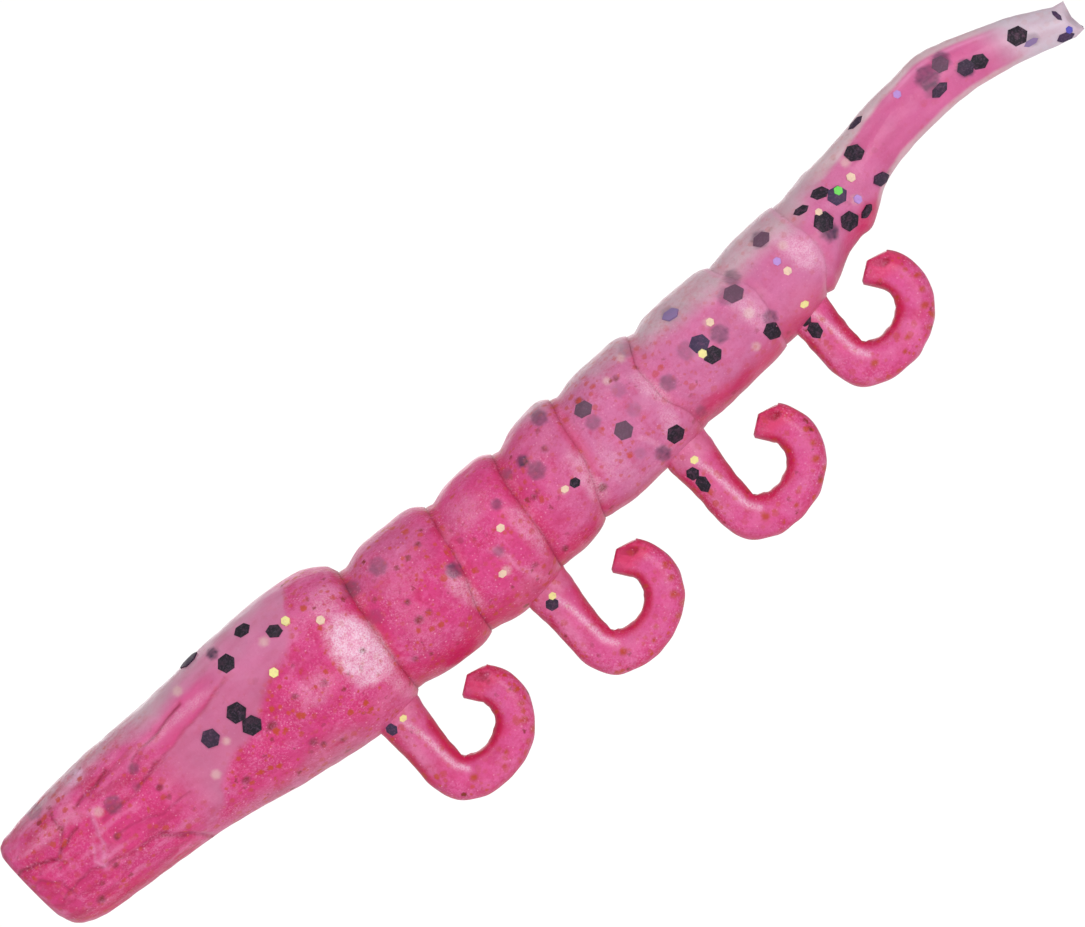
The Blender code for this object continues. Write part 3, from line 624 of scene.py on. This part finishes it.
    # painted highlight: pale arcs round the bulges above the second and third legs
    haunch_highlight = stroke(q, ((32.0, -0.8), (32.2, -2.0), (32.6, -3.0), (33.3, -3.8)), 0.16)
    haunch_highlight = np.maximum(haunch_highlight, stroke(q, ((42.2, -0.8), (42.7, -1.9), (43.2, -2.7)), 0.16))
    tint.coat(haunch_highlight * 0.45, colour(244, 170, 204))
    for leg_x, belly_z, _, _ in LEGS:
        tint.coat(blob(q, leg_x - 0.1, belly_z + 0.7, 1.35, 1.0, 0.6) * 0.5, colour(222, 122, 162))
    tint.values *= (1 + 0.05 * wobble(p, 1.6, 5) + 0.03 * small)[:, None]
    exact = p.copy()
    exact[far, 0] += 0.7
    exact[far, 2] = 0.8 - exact[far, 2]
    specks = np.interp(
        x,
        (0, 2, 9, 12, 25, 31, 38, 44, 50, 60, 76),
        (0.6, 0.8, 0.8, 1, 1, 0.8, 0.7, 0.6, 0.35, 0.2, 0.1),
    )
    specks *= 1 - 0.85 * np.clip(window, 0, 1)
    grainy = wobble(p, 0.22, 15)
    for fx, fz, flats, turn, dark in DEEP_FLAKES:
        shade = DARK if dark > 0.5 else SLATE
        mask = hexagon_mask(exact, fx, fz, flats, turn, 0.12) * (0.86 + 0.22 * grainy)
        tint.coat(mask * min(1, dark * 1.3), shade)
        specks *= 1 - mask * 0.8
    for fx, fz, flats, turn in PALE_FLAKES:
        tint.coat(hexagon_mask(exact, fx, fz, flats, turn, 0.12) * 0.6, CREAM)
    for sx, sz, wide in SPOTS:
        tint.coat(blob(exact, sx, sz, wide * 0.62, wide * 0.52, 0.5) * (0.8 + 0.3 * grainy), COPPER)
    write_layers(piece, tint, specks * (1 - 0.75 * pearl_highlight), pearl_highlight)


def paint_leg(piece):
    p = points_of(piece)
    normals = np.empty(p.size)
    piece.data.vertex_normals.foreach_get("vector", normals)
    normals = normals.reshape(-1, 3)
    number = int(piece.name.split("_")[1])
    # at a cut the mesh's normals lean along the leg, and the paint must not show that
    x, z, way, _, _ = leg_frame(number, np.linspace(0, 1, 300))
    nearest = np.hypot(p[:, :1] - x, p[:, 2:] - z).argmin(1)
    along = np.stack([way[nearest, 0], np.zeros(len(p)), way[nearest, 1]], 1)
    across = normals - (normals * along).sum(1)[:, None] * along
    across /= np.maximum(np.linalg.norm(across, axis=1), 0.5)[:, None]
    normals = np.where((nearest < 285)[:, None], across, normals)
    flank = np.abs(normals[:, 1])
    q = p - (LEGS[number - 1][0], 0, LEGS[number - 1][2])
    # painted shade: crimson where the surface faces into the curl and along both edges of the shank, where it
    # turns away from the light; paler where the leg joins the belly
    way = np.array((2.9, 0, -7.9)) - q
    way[:, 1] = 0
    inward = (way * normals).sum(1) / np.linalg.norm(way, axis=1) + 0.08 * wobble(p, 1.1, 6)
    shank = smooth(-9.6, -8.6, q[:, 2]) * (1 - smooth(0.9, 1.6, q[:, 0]))
    tint = Coats(len(p), colour(223, 84, 147))
    tint.coat(smooth(0.0, 0.9, wobble(p, 1.3, 7)) * 0.5, colour(230, 112, 164))
    tint.coat(smooth(0.1, 0.9, wobble(p, 0.8, 17)) * 0.35, DEEP)
    # painted highlight: a paler stripe down the shank, towards the nose
    tint.coat(shank * blob(q, -0.35, -7.0, 0.35, 2.2, 0.8) * 0.4, colour(232, 124, 172))
    tint.coat(smooth(-5.9, -5.1, q[:, 2]) * shank * 0.7, colour(222, 122, 164))
    tint.coat(smooth(0.30, 0.70, inward) * 0.92, colour(204, 24, 76))
    tint.coat(smooth(0.50, 0.86, -inward) * (0.45 + 0.5 * shank), colour(206, 34, 80))
    tip = smooth(-7.2, -6.4, q[:, 2]) * smooth(3, 4, q[:, 0])
    tint.coat(tip * 0.8, colour(228, 62, 108))
    for sx, sz, wide in LEG_SPOTS:
        tint.coat(blob(q, sx, sz, wide * 0.6, wide * 0.5, 0.5) * 0.95, colour(192, 68, 34))
    tint.coat(blob(q, 4.95, -6.15, 0.36, 0.20, 0.4), colour(166, 6, 50))
    tint.values *= (1 + 0.05 * wobble(p, 0.8, 8))[:, None]
    # painted highlight: a pale glint line down the shank into the bend
    leg_highlight = stroke(q, ((-0.1, -5.3), (0.28, -6.6), (0.46, -7.7), (0.66, -9.0), (1.1, -9.6)), 0.17)
    leg_highlight *= smooth(0.3, 0.6, flank)
    tint.coat(leg_highlight * 0.5, HIGHLIGHT_PINK)
    # painted highlight: a paler patch on the shank, towards the nose
    tint.coat(blob(q, -0.55, -7.1, 0.3, 1.6, 0.7) * 0.35, colour(228, 140, 176))
    write_layers(piece, tint, 0.5 + 0.5 * smooth(0.0, 0.6, -inward), leg_highlight * 0.55)


def points_of(piece):
    flat = np.empty(len(piece.data.vertices) * 3)
    piece.data.vertices.foreach_get("co", flat)
    return flat.reshape(-1, 3) / MM


def write_layers(piece, tint, specks, pearl_highlight):
    """What the shader reads at each point: its colour, how many specks lie there and how much painted pearl
    highlight.
    """
    tint = np.clip(tint.values, 0.004, 1)
    layer = piece.data.color_attributes.new("Tint", "FLOAT_COLOR", "POINT")
    layer.data.foreach_set("color", np.column_stack([tint, np.ones(len(tint))]).astype(np.float32).ravel())
    for name, values in (("Specks", specks), ("Pearl", pearl_highlight)):
        layer = piece.data.attributes.new(name, "FLOAT", "POINT")
        layer.data.foreach_set("value", np.clip(values, 0, 1).astype(np.float32))


def roughen(rows, rims=()):
    """Small lumps and furrows, pushed in along each row's radius, but not near the rims: they stay round."""
    shaped = []
    for row in rows:
        centre = row.mean(0)
        away = row - centre
        length = np.linalg.norm(away, axis=1)
        length[length < 1e-6] = 1
        crumpled = 1 - smooth(7, 11, row[:, 0]) * 0.7
        lumps = 0.035 * wobble(row, 2.2, 9) + 0.016 * wobble(row, 0.7, 10)
        lumps += 0.035 * crumpled * np.abs(wobble(row * (0.4, 1, 1), 0.6, 16))
        furrows = np.zeros(len(row))
        side = row.copy()
        side[:, 0] += np.where(row[:, 1] > 0, 0.6, 0)
        for line, width, depth, _ in FURROWS:
            furrows += 1.3 * depth * stroke(side, line, width * 1.1)
        # a little flash stands up along the mould's parting line on the back
        top = away[:, 2] / length
        flash = smooth(0.994, 1.0, top) * smooth(30, 36, row[:, 0]) * (1 - smooth(58, 60, row[:, 0]))
        lumps += 0.09 * flash * np.clip(wobble(row, 1.3, 12), 0, 1)
        keep = np.ones(len(row))
        for number in rims:
            ahead = row[:, 0] - GROOVES[number - 1][0] - rim_offset(number, row[:, 2])
            keep *= smooth(0.4, 1.6, np.abs(ahead))
        push = (lumps - furrows) * keep
        shaped.append(row + away / length[:, None] * push[:, None])
    return shaped


# ---- materials ----

class Nodes:
    def __init__(self, name):
        self.material = bpy.data.materials.new(name)
        self.material.use_nodes = True
        self.tree = self.material.node_tree
        self.shader = self.tree.nodes["Principled BSDF"]

    def add(self, kind, **values):
        node = self.tree.nodes.new(kind)
        for key, value in values.items():
            setattr(node, key, value)
        return node

    def link(self, a, b):
        self.tree.links.new(a, b)

    def coordinates(self):
        return self.add("ShaderNodeTexCoord").outputs["Object"]

    def noise(self, scale, detail=2.0, roughness=0.5):
        node = self.add("ShaderNodeTexNoise")
        node.inputs["Scale"].default_value = scale
        node.inputs["Detail"].default_value = detail
        node.inputs["Roughness"].default_value = roughness
        self.link(self.coordinates(), node.inputs["Vector"])
        return node.outputs["Fac"]

    def range(self, value, a, b, c=0.0, d=1.0):
        node = self.add("ShaderNodeMapRange")
        self.link(value, node.inputs["Value"])
        for key, number in (("From Min", a), ("From Max", b), ("To Min", c), ("To Max", d)):
            node.inputs[key].default_value = number
        return node.outputs["Result"]

    def math(self, operation, a, b):
        node = self.add("ShaderNodeMath", operation=operation)
        for socket, value in zip(node.inputs, (a, b)):
            if isinstance(value, (int, float)):
                socket.default_value = value
            else:
                self.link(value, socket)
        return node.outputs["Value"]

    def times(self, a, b):
        return self.math("MULTIPLY", a, b)

    def mix(self, factor, a, b):
        node = self.add("ShaderNodeMix", data_type="RGBA")
        for socket, value in zip((node.inputs["Factor"], node.inputs["A"], node.inputs["B"]), (factor, a, b)):
            if isinstance(value, (int, float)):
                socket.default_value = value
            elif isinstance(value, (tuple, np.ndarray)):
                socket.default_value = (*value, 1.0)
            else:
                self.link(value, socket)
        return node.outputs["Result"]

    def specks(self, scale, size, share):
        """Specks of about that size, as a mask: cells at that scale, of which only a share hold a speck."""
        cells = self.add("ShaderNodeTexVoronoi")
        cells.inputs["Scale"].default_value = scale
        self.link(self.coordinates(), cells.inputs["Vector"])
        split = self.add("ShaderNodeSeparateColor")
        self.link(cells.outputs["Color"], split.inputs["Color"])
        shown = self.math("LESS_THAN", split.outputs["Red"], share)
        radius = self.range(split.outputs["Green"], 0, 1, size * 0.35, size)
        uneven = self.range(self.noise(scale * 4.5), 0.3, 0.7, -0.1, 0.1)
        edge = self.math("SUBTRACT", radius, self.math("ADD", cells.outputs["Distance"], uneven))
        return self.times(shown, self.range(edge, 0, 0.16))


def skin_material(name, subsurface, roughness):
    n = Nodes(name)
    tint = n.add("ShaderNodeAttribute", attribute_name="Tint").outputs["Color"]
    where = n.add("ShaderNodeAttribute", attribute_name="Specks").outputs["Fac"]
    pearl_highlight = n.add("ShaderNodeAttribute", attribute_name="Pearl").outputs["Fac"]
    # mottles of deeper red and of paler pink, and fine grain that whitens as painted highlight where the
    # pearl sheen is painted
    mottle = n.range(n.noise(1150, 6, 0.75), 0.49, 0.62)
    tint = n.mix(n.times(mottle, n.times(where, 0.50)), tint, colour(204, 20, 84))
    veil = n.range(n.noise(750, 6, 0.75), 0.52, 0.66)
    tint = n.mix(n.times(veil, n.times(where, 0.46)), tint, colour(236, 132, 184))
    dark = n.range(n.noise(5200, 3, 0.6), 0.48, 0.66)
    tint = n.mix(n.times(dark, n.times(where, 0.32)), tint, colour(186, 22, 78))
    patches = n.range(n.noise(620, 3), 0.42, 0.60, 0.05, 0.60)
    pale = n.range(n.noise(8200, 4, 0.7), 0.48, 0.66)
    amount = n.times(n.times(pale, patches), where)
    tint = n.mix(n.times(amount, 0.75), tint, colour(242, 152, 196))
    grain = n.range(n.noise(10500, 3, 0.7), 0.40, 0.60)
    tint = n.mix(n.times(grain, n.times(pearl_highlight, 0.7)), tint, colour(255, 236, 246))
    # painted glints: small near-white sparkles of specular light painted into the colour
    painted_glints = n.times(n.specks(5600, 0.36, 0.30), n.times(where, 0.42))
    tint = n.mix(painted_glints, tint, colour(255, 196, 222))
    # copper specks of three sizes, in clusters
    cluster = n.times(where, n.range(n.noise(300, 2), 0.42, 0.54, 0.45, 1.0))
    fine = n.times(n.specks(2700, 0.46, 0.45), cluster)
    tint = n.mix(n.times(fine, 0.80), tint, colour(206, 76, 44))
    big = n.times(n.specks(1850, 0.48, 0.56), cluster)
    tint = n.mix(n.times(big, 0.92), tint, colour(198, 72, 38))
    brown = n.times(n.specks(1400, 0.36, 0.34), cluster)
    tint = n.mix(brown, tint, colour(140, 46, 30))
    n.link(tint, n.shader.inputs["Base Color"])
    uneven = n.range(n.noise(900, 3), 0.3, 0.7, roughness - 0.06, roughness + 0.08)
    n.link(uneven, n.shader.inputs["Roughness"])
    bump = n.add("ShaderNodeBump")
    bump.inputs["Strength"].default_value = 0.6
    bump.inputs["Distance"].default_value = 0.00006
    height = n.math("ADD", n.noise(1500, 4, 0.6), n.times(n.noise(5200, 2), 0.6))
    n.link(height, bump.inputs["Height"])
    n.link(bump.outputs["Normal"], n.shader.inputs["Normal"])
    n.shader.inputs["Subsurface Weight"].default_value = subsurface
    n.shader.inputs["Subsurface Radius"].default_value = (1.0, 0.35, 0.55)
    n.shader.inputs["Subsurface Scale"].default_value = 0.0003
    n.shader.inputs["Specular IOR Level"].default_value = 0.28
    n.shader.inputs["Coat Weight"].default_value = 0.04
    n.shader.inputs["Coat Roughness"].default_value = 0.25
    return n.material


def glitter_material():
    n = Nodes("glitter_film")
    tint = n.add("ShaderNodeAttribute", attribute_name="Tint").outputs["Color"]
    tint = n.mix(n.times(n.range(n.noise(8000, 3, 0.7), 0.5, 0.7), 0.22), tint, colour(150, 116, 150))
    tint = n.mix(n.times(n.range(n.noise(3000, 3, 0.7), 0.5, 0.7), 0.16), tint, colour(170, 96, 140))
    n.link(tint, n.shader.inputs["Base Color"])
    n.link(n.range(n.noise(2600, 2), 0.3, 0.7, 0.45, 0.65), n.shader.inputs["Roughness"])
    n.shader.inputs["Specular IOR Level"].default_value = 0.3
    return n.material


SKIN = skin_material("pearl_skin", 0.10, 0.36)
LEG = skin_material("leg_plastisol", 0.0, 0.36)
GLITTER = glitter_material()

# ---- pieces ----

skins = {}


def body_piece(name, rows, rims):
    piece = mesh_object(name, roughen(rows, rims))
    paint_body(piece)
    piece.data.materials.append(SKIN)
    skins[name] = piece
    return piece


head = body_piece("head_visual", head_rows(), (1,))
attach(head, "head")
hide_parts("head_skin", "head_core")
for number in range(1, 7):
    ring = body_piece(f"ring_{number}_visual", ring_rows(number), (number, number + 1))
    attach(ring, f"ring_{number}")
    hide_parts(f"ring_{number}_skin", f"ring_{number}_core", f"web_{number}")

tail = body_piece("tail_1_visual", tail_start_rows(), (7,))
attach(tail, "tail_1")
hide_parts("tail_1_skin", "tail_1_core", "web_7")
tail_ends = dict(zip(("tail_1", "tail_2", "tail_3", "tail_4"), (*TAIL_BENDS, TAIL_TIP)))
for number in (2, 3, 4):
    start, end = tail_ends[f"tail_{number - 1}"], tail_ends[f"tail_{number}"]
    tail = body_piece(f"tail_{number}_visual", tail_rows(start, end), ())
    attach(tail, f"tail_{number}")
    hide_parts(f"tail_{number}_skin", f"tail_{number}_core")

for number, (_, _, _, parent) in enumerate(LEGS, 1):
    hip, knee = leg_joint(number, "swing"), leg_joint(number, "curl")
    for part, body, first, last in (
        ("root", parent, 0.0, hip),
        ("shank", f"leg_{number}_shank", hip, knee),
        ("curl", f"leg_{number}_curl", knee, 1.0),
    ):
        piece = mesh_object(f"leg_{number}_{part}_visual", leg_rows(number, first, last))
        paint_leg(piece)
        piece.data.materials.append(LEG)
        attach(piece, body)
        if part != "root":
            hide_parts(body)

# ---- glitter ----

BLACK, VIOLET, SMOKE = colour(24, 14, 30), colour(62, 44, 78), colour(52, 34, 58)
HAZE, DUSK = colour(104, 70, 92), colour(140, 116, 164)
GOLD, STRAW, GREEN, LILAC, BLUE = (
    colour(252, 240, 160),
    colour(246, 214, 186),
    colour(110, 230, 90),
    colour(196, 150, 226),
    colour(90, 84, 190),
)
# x, z, width across the flats, turn, colour, and how narrow it looks (a tilted flake is narrow)
FLAKES = {
    "head": (
        (16.5, 3.24, 0.96, 5, BLACK, 1), (18.3, 4.15, 0.9, 8, BLACK, 0.75),
        (19.7, 3.02, 0.86, 35, BLACK, 0.8), (15.3, 0.74, 1.06, 12, BLACK, 1),
        (15.55, -0.34, 1.06, 2, BLACK, 0.95), (13.3, 0.5, 0.96, 20, SMOKE, 1),
        (14.9, 4.62, 1.1, 0, SMOKE, 0.6), (18.3, 1.2, 0.5, 10, GOLD, 1), (22.1, 1.88, 0.46, 20, STRAW, 1),
        (20.55, 3.02, 0.46, 5, GOLD, 1),
    ),
    "ring_2": ((33.07, -0.2, 0.46, 0, STRAW, 0.9), (31.6, -2.26, 0.46, 0, STRAW, 0.8)),
    "ring_3": ((37.85, -0.76, 0.58, 12, BLACK, 0.9), (37.2, -0.7, 0.44, 10, STRAW, 0.8)),
    "ring_4": (
        (43.9, -2.1, 1.0, 14, BLACK, 0.95), (41.75, -0.14, 0.98, 20, HAZE, 1),
        (40.7, 2.17, 1.0, 15, HAZE, 0.8),
    ),
    "ring_5": (
        (48.0, 1.06, 1.06, 22, VIOLET, 0.9), (48.2, 0.12, 1.0, 8, BLACK, 0.9),
        (47.8, 0.52, 0.46, 0, GOLD, 1), (51.2, 2.08, 1.08, 12, HAZE, 0.85),
        (51.7, -0.9, 1.1, 30, BLACK, 0.75), (49.2, 1.63, 0.42, 0, STRAW, 1),
        (47.75, 3.3, 0.9, 5, DUSK, 0.6),
    ),
    "ring_6": (
        (54.33, 1.23, 0.44, 0, STRAW, 1), (54.27, 3.5, 1.0, 2, HAZE, 0.7),
        (53.95, -0.8, 0.48, 10, GOLD, 0.7), (54.2, 2.0, 0.42, 0, LILAC, 1),
    ),
    "tail_1": (
        (57.0, 3.41, 0.86, 8, BLACK, 0.5), (58.4, 3.54, 0.96, 15, BLACK, 0.66),
        (59.08, 2.83, 1.06, 10, VIOLET, 0.92), (59.3, 3.0, 0.46, 0, GREEN, 1),
        (57.6, 2.13, 1.1, 14, BLACK, 0.95), (58.75, 1.3, 1.04, 8, BLACK, 0.88),
        (57.7, 2.72, 0.36, 0, STRAW, 1), (61.3, 4.1, 1.0, 25, BLACK, 0.85),
        (61.6, 2.06, 0.98, 20, SMOKE, 0.55), (60.3, 3.15, 0.46, 0, STRAW, 1),
        (59.85, 1.98, 0.42, 0, LILAC, 1), (59.85, 1.16, 0.8, -6, BLACK, 0.42),
    ),
    "tail_2": ((62.4, 5.4, 0.96, 3, SMOKE, 0.4), (65.2, 5.2, 0.42, 0, LILAC, 1)),
    "tail_3": (
        (67.2, 3.94, 1.04, -8, SMOKE, 0.55), (68.1, 5.05, 0.9, 12, HAZE, 0.95),
        (69.9, 3.83, 0.96, 28, BLACK, 0.85), (69.1, 4.03, 0.92, 12, SMOKE, 0.9),
    ),
    "tail_4": (
        (72.45, 3.66, 1.1, 12, BLACK, 0.95), (72.85, 2.9, 0.8, 8, DUSK, 0.4),
        (74.9, 3.2, 0.66, 80, VIOLET, 0.4), (74.55, 1.95, 0.9, 12, VIOLET, 0.5),
        (74.95, 2.15, 0.36, 0, BLUE, 1),
    ),
}
LEG_FLAKES = {
    (1, "root"): ((21.4, -5.3, 0.66, 5, VIOLET, 0.9), (22.3, -5.2, 0.42, 0, GOLD, 0.8)),
    (2, "root"): ((32.7, -5.3, 0.72, 5, SMOKE, 0.9), (33.0, -4.95, 0.42, 0, GOLD, 0.9)),
    (3, "root"): ((43.85, -3.85, 0.45, 0, GOLD, 0.9), (43.3, -4.4, 0.72, 5, BLACK, 0.9)),
    (3, "shank"): ((43.4, -5.2, 0.9, 95, BLACK, 0.8),),
    (4, "root"): ((53.45, -1.5, 0.72, 5, BLACK, 0.9), (53.55, -2.3, 0.92, 95, BLACK, 0.8)),
}
RING_POINTS = 18
FILM_LIFT, FILM_STEP, FILM_SKIRT = 0.018, 0.012, 0.05


def hexagon_points(flats, turn, narrow):
    """Points and faces of a flat hexagon, a centre and three rings, squeezed in height and turned."""
    points, faces = [(0.0, 0.0)], []
    for ring, share in enumerate((0.36, 0.7, 1.0)):
        for k in range(RING_POINTS):
            angle = 2 * math.pi * k / RING_POINTS
            edge = share * flats / 2 / math.cos((angle % (math.pi / 3)) - math.pi / 6)
            u, v = edge * math.cos(angle), edge * math.sin(angle) * narrow
            way = math.radians(turn)
            points.append((u * math.cos(way) - v * math.sin(way), u * math.sin(way) + v * math.cos(way)))
        start = 1 + ring * RING_POINTS
        for k in range(RING_POINTS):
            n = (k + 1) % RING_POINTS
            if ring == 0:
                faces.append((0, 1 + k, 1 + n))
            else:
                faces.append((start - RING_POINTS + k, start + k, start + n, start - RING_POINTS + n))
    return points, faces


def lay_flakes(name, tree, flakes, side=-1):
    """Film hexagons that lie on a skin, in one object. Each lies a little above the one before it."""
    points, faces, tints = [], [], []
    for order, (x, z, flats, turn, tint, narrow) in enumerate(flakes):
        flat, links = hexagon_points(flats, turn, narrow)
        hit, normal, _, _ = tree.ray_cast(Vector((x, side * 30, z)) * MM, Vector((0, -side, 0)), 1)
        if hit is None or normal.y * side < 0.12:
            continue
        along = (Vector((1, 0, 0)) - normal * normal.x).normalized()
        over = along.cross(normal) * side
        start = len(points)
        upright = min(1.5, abs(normal.y) ** -0.8)
        for u, v in flat:
            landed = tree.find_nearest(hit + (along * u - over * v * upright) * MM)
            points.append(landed[0] + landed[1] * (FILM_LIFT + FILM_STEP * order) * MM)
        faces += [tuple(start + k for k in face) for face in links]
        rim, skirt = len(points) - RING_POINTS, len(points)
        points += [p - normal * (FILM_SKIRT + FILM_STEP * order) * MM for p in points[rim:]]
        tints += [tint] * (len(points) - start)
        for k in range(RING_POINTS):
            n = (k + 1) % RING_POINTS
            faces.append((rim + k, skirt + k, skirt + n, rim + n))
    data = bpy.data.meshes.new(name)
    data.from_pydata(points, [], faces)
    data.shade_smooth()
    data.set_sharp_from_angle(angle=math.radians(50))
    layer = data.color_attributes.new("Tint", "FLOAT_COLOR", "POINT")
    layer.data.foreach_set("color", np.column_stack([tints, np.ones(len(tints))]).astype(np.float32).ravel())
    data.materials.append(GLITTER)
    made = add_object(name, data)
    return made


def tree_of(*pieces):
    points, faces = [], []
    for piece in pieces:
        faces += [tuple(len(points) + k for k in face.vertices) for face in piece.data.polygons]
        points += [v.co for v in piece.data.vertices]
    return BVHTree.FromPolygons(points, faces)


cad_flakes = {}
for body, nodes in frame["record"]["behaviour"]["bodies"].items():
    cad_flakes[body] = [node for node in nodes if node.startswith("black_flake")]
tail_tree = tree_of(*(skins[f"{body}_visual"] for body in tail_ends))
for body, flakes in FLAKES.items():
    tree = tail_tree if body in tail_ends else tree_of(skins[f"{body}_visual"])
    ends = min(flake[0] for flake in flakes) + max(flake[0] for flake in flakes)
    mirrored = []
    for x, z, flats, turn, tint, narrow in flakes:
        if body in tail_ends:
            x, z = (x + 0.8 if x + 1.3 < tail_ends[body] else x - 0.8), z * 0.9 + 0.3
        else:
            x, z = ends - x, z * 0.8 + 0.3
        mirrored.append((x, z, flats, turn + 9, tint, narrow))
    near = lay_flakes(f"{body}_glitter_left", tree, flakes)
    far = lay_flakes(f"{body}_glitter_right", tree, mirrored, 1)
    for made in (near, far):
        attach(made, body)
    if cad_flakes[body]:
        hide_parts(*cad_flakes[body])
for (number, part), flakes in LEG_FLAKES.items():
    root, shank = (bpy.data.objects[f"leg_{number}_{name}_visual"] for name in ("root", "shank"))
    made = lay_flakes(f"leg_{number}_{part}_glitter", tree_of(root, shank), flakes)
    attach(made, LEGS[number - 1][3] if part == "root" else f"leg_{number}_shank")

# ---- floor, light and camera ----

FLOOR_DEPTH = 0.05  # so far below the lure that the bent tail doesn't reach it
FLOOR_HALF = 3.0
CAMERA_DISTANCE = 0.70
CAMERA_ROLL = math.radians(38)  # the lure lies across the picture at a slant, nose low
SHOWN_WIDTH = 0.06028  # of the plane through the lure that the camera shows
LURE_CENTRE = Vector((0.03709, 0, 0.00118))
LAMP_TARGET = Vector((0.037, 0, 0.001))
# Lamps: place, size, power
LAMPS = {
    "key": ((0.16, -0.30, 0.02), 0.11, 0.29),
    "top": ((0.0, -0.18, 0.30), 0.20, 0.245),
    "fill": ((-0.24, -0.22, -0.02), 0.20, 0.14),
    "back": ((0.04, 0.30, 0.12), 0.20, 0.16),
}


def add_floor():
    data = bpy.data.meshes.new("floor")
    a = FLOOR_HALF
    corners = [(x, y, -FLOOR_DEPTH) for x, y in ((-a, -a), (a, -a), (a, a), (-a, a))]
    data.from_pydata(corners, [], [(0, 1, 2, 3)])
    floor = add_object("floor", data)
    n = Nodes("pale_floor")
    n.link(n.mix(n.noise(30, 2), (0.93, 0.93, 0.93), (0.96, 0.96, 0.96)), n.shader.inputs["Base Color"])
    n.shader.inputs["Roughness"].default_value = 0.9
    n.shader.inputs["Emission Color"].default_value = (1, 1, 1, 1)
    rays = n.add("ShaderNodeLightPath")
    n.link(n.range(rays.outputs["Is Camera Ray"], 0, 1, 0.15, 0.75), n.shader.inputs["Emission Strength"])
    floor.data.materials.append(n.material)


def add_light(name, place, size, power):
    data = bpy.data.lights.new(name, "AREA")
    data.shape = "DISK"
    data.size = size
    data.energy = power
    light = add_object(name, data)
    light.location = place
    light.visible_camera = False
    light.rotation_mode = "QUATERNION"
    light.rotation_quaternion = (LAMP_TARGET - Vector(place)).to_track_quat("-Z", "Y")


def add_world():
    world = bpy.data.worlds.new("studio")
    bpy.context.scene.world = world
    world.use_nodes = True
    tree = world.node_tree
    background = tree.nodes["Background"]
    background.inputs["Color"].default_value = (1, 1, 1, 1)
    rays = tree.nodes.new("ShaderNodeLightPath")
    strength = tree.nodes.new("ShaderNodeMapRange")
    strength.inputs["To Min"].default_value = 0.40
    strength.inputs["To Max"].default_value = 1.05
    tree.links.new(rays.outputs["Is Camera Ray"], strength.inputs["Value"])
    tree.links.new(strength.outputs["Result"], background.inputs["Strength"])


def add_camera():
    data = bpy.data.cameras.new("camera")
    camera = add_object("camera", data)
    data.sensor_width = 36
    data.lens = data.sensor_width * CAMERA_DISTANCE / SHOWN_WIDTH
    data.clip_start, data.clip_end = 0.01, 20
    right = Vector((math.cos(CAMERA_ROLL), 0, -math.sin(CAMERA_ROLL)))
    up = Vector((math.sin(CAMERA_ROLL), 0, math.cos(CAMERA_ROLL)))
    look = Vector((0, 1, 0))
    axes = Matrix((right, up, -look)).transposed().to_4x4()
    camera.matrix_world = Matrix.Translation(LURE_CENTRE - look * CAMERA_DISTANCE) @ axes
    bpy.context.scene.camera = camera


add_floor()
add_world()
for name, lamp in LAMPS.items():
    add_light(name, *lamp)
add_camera()
bpy.context.scene.view_settings.view_transform = "Standard"
bpy.context.scene.view_settings.look = "None"
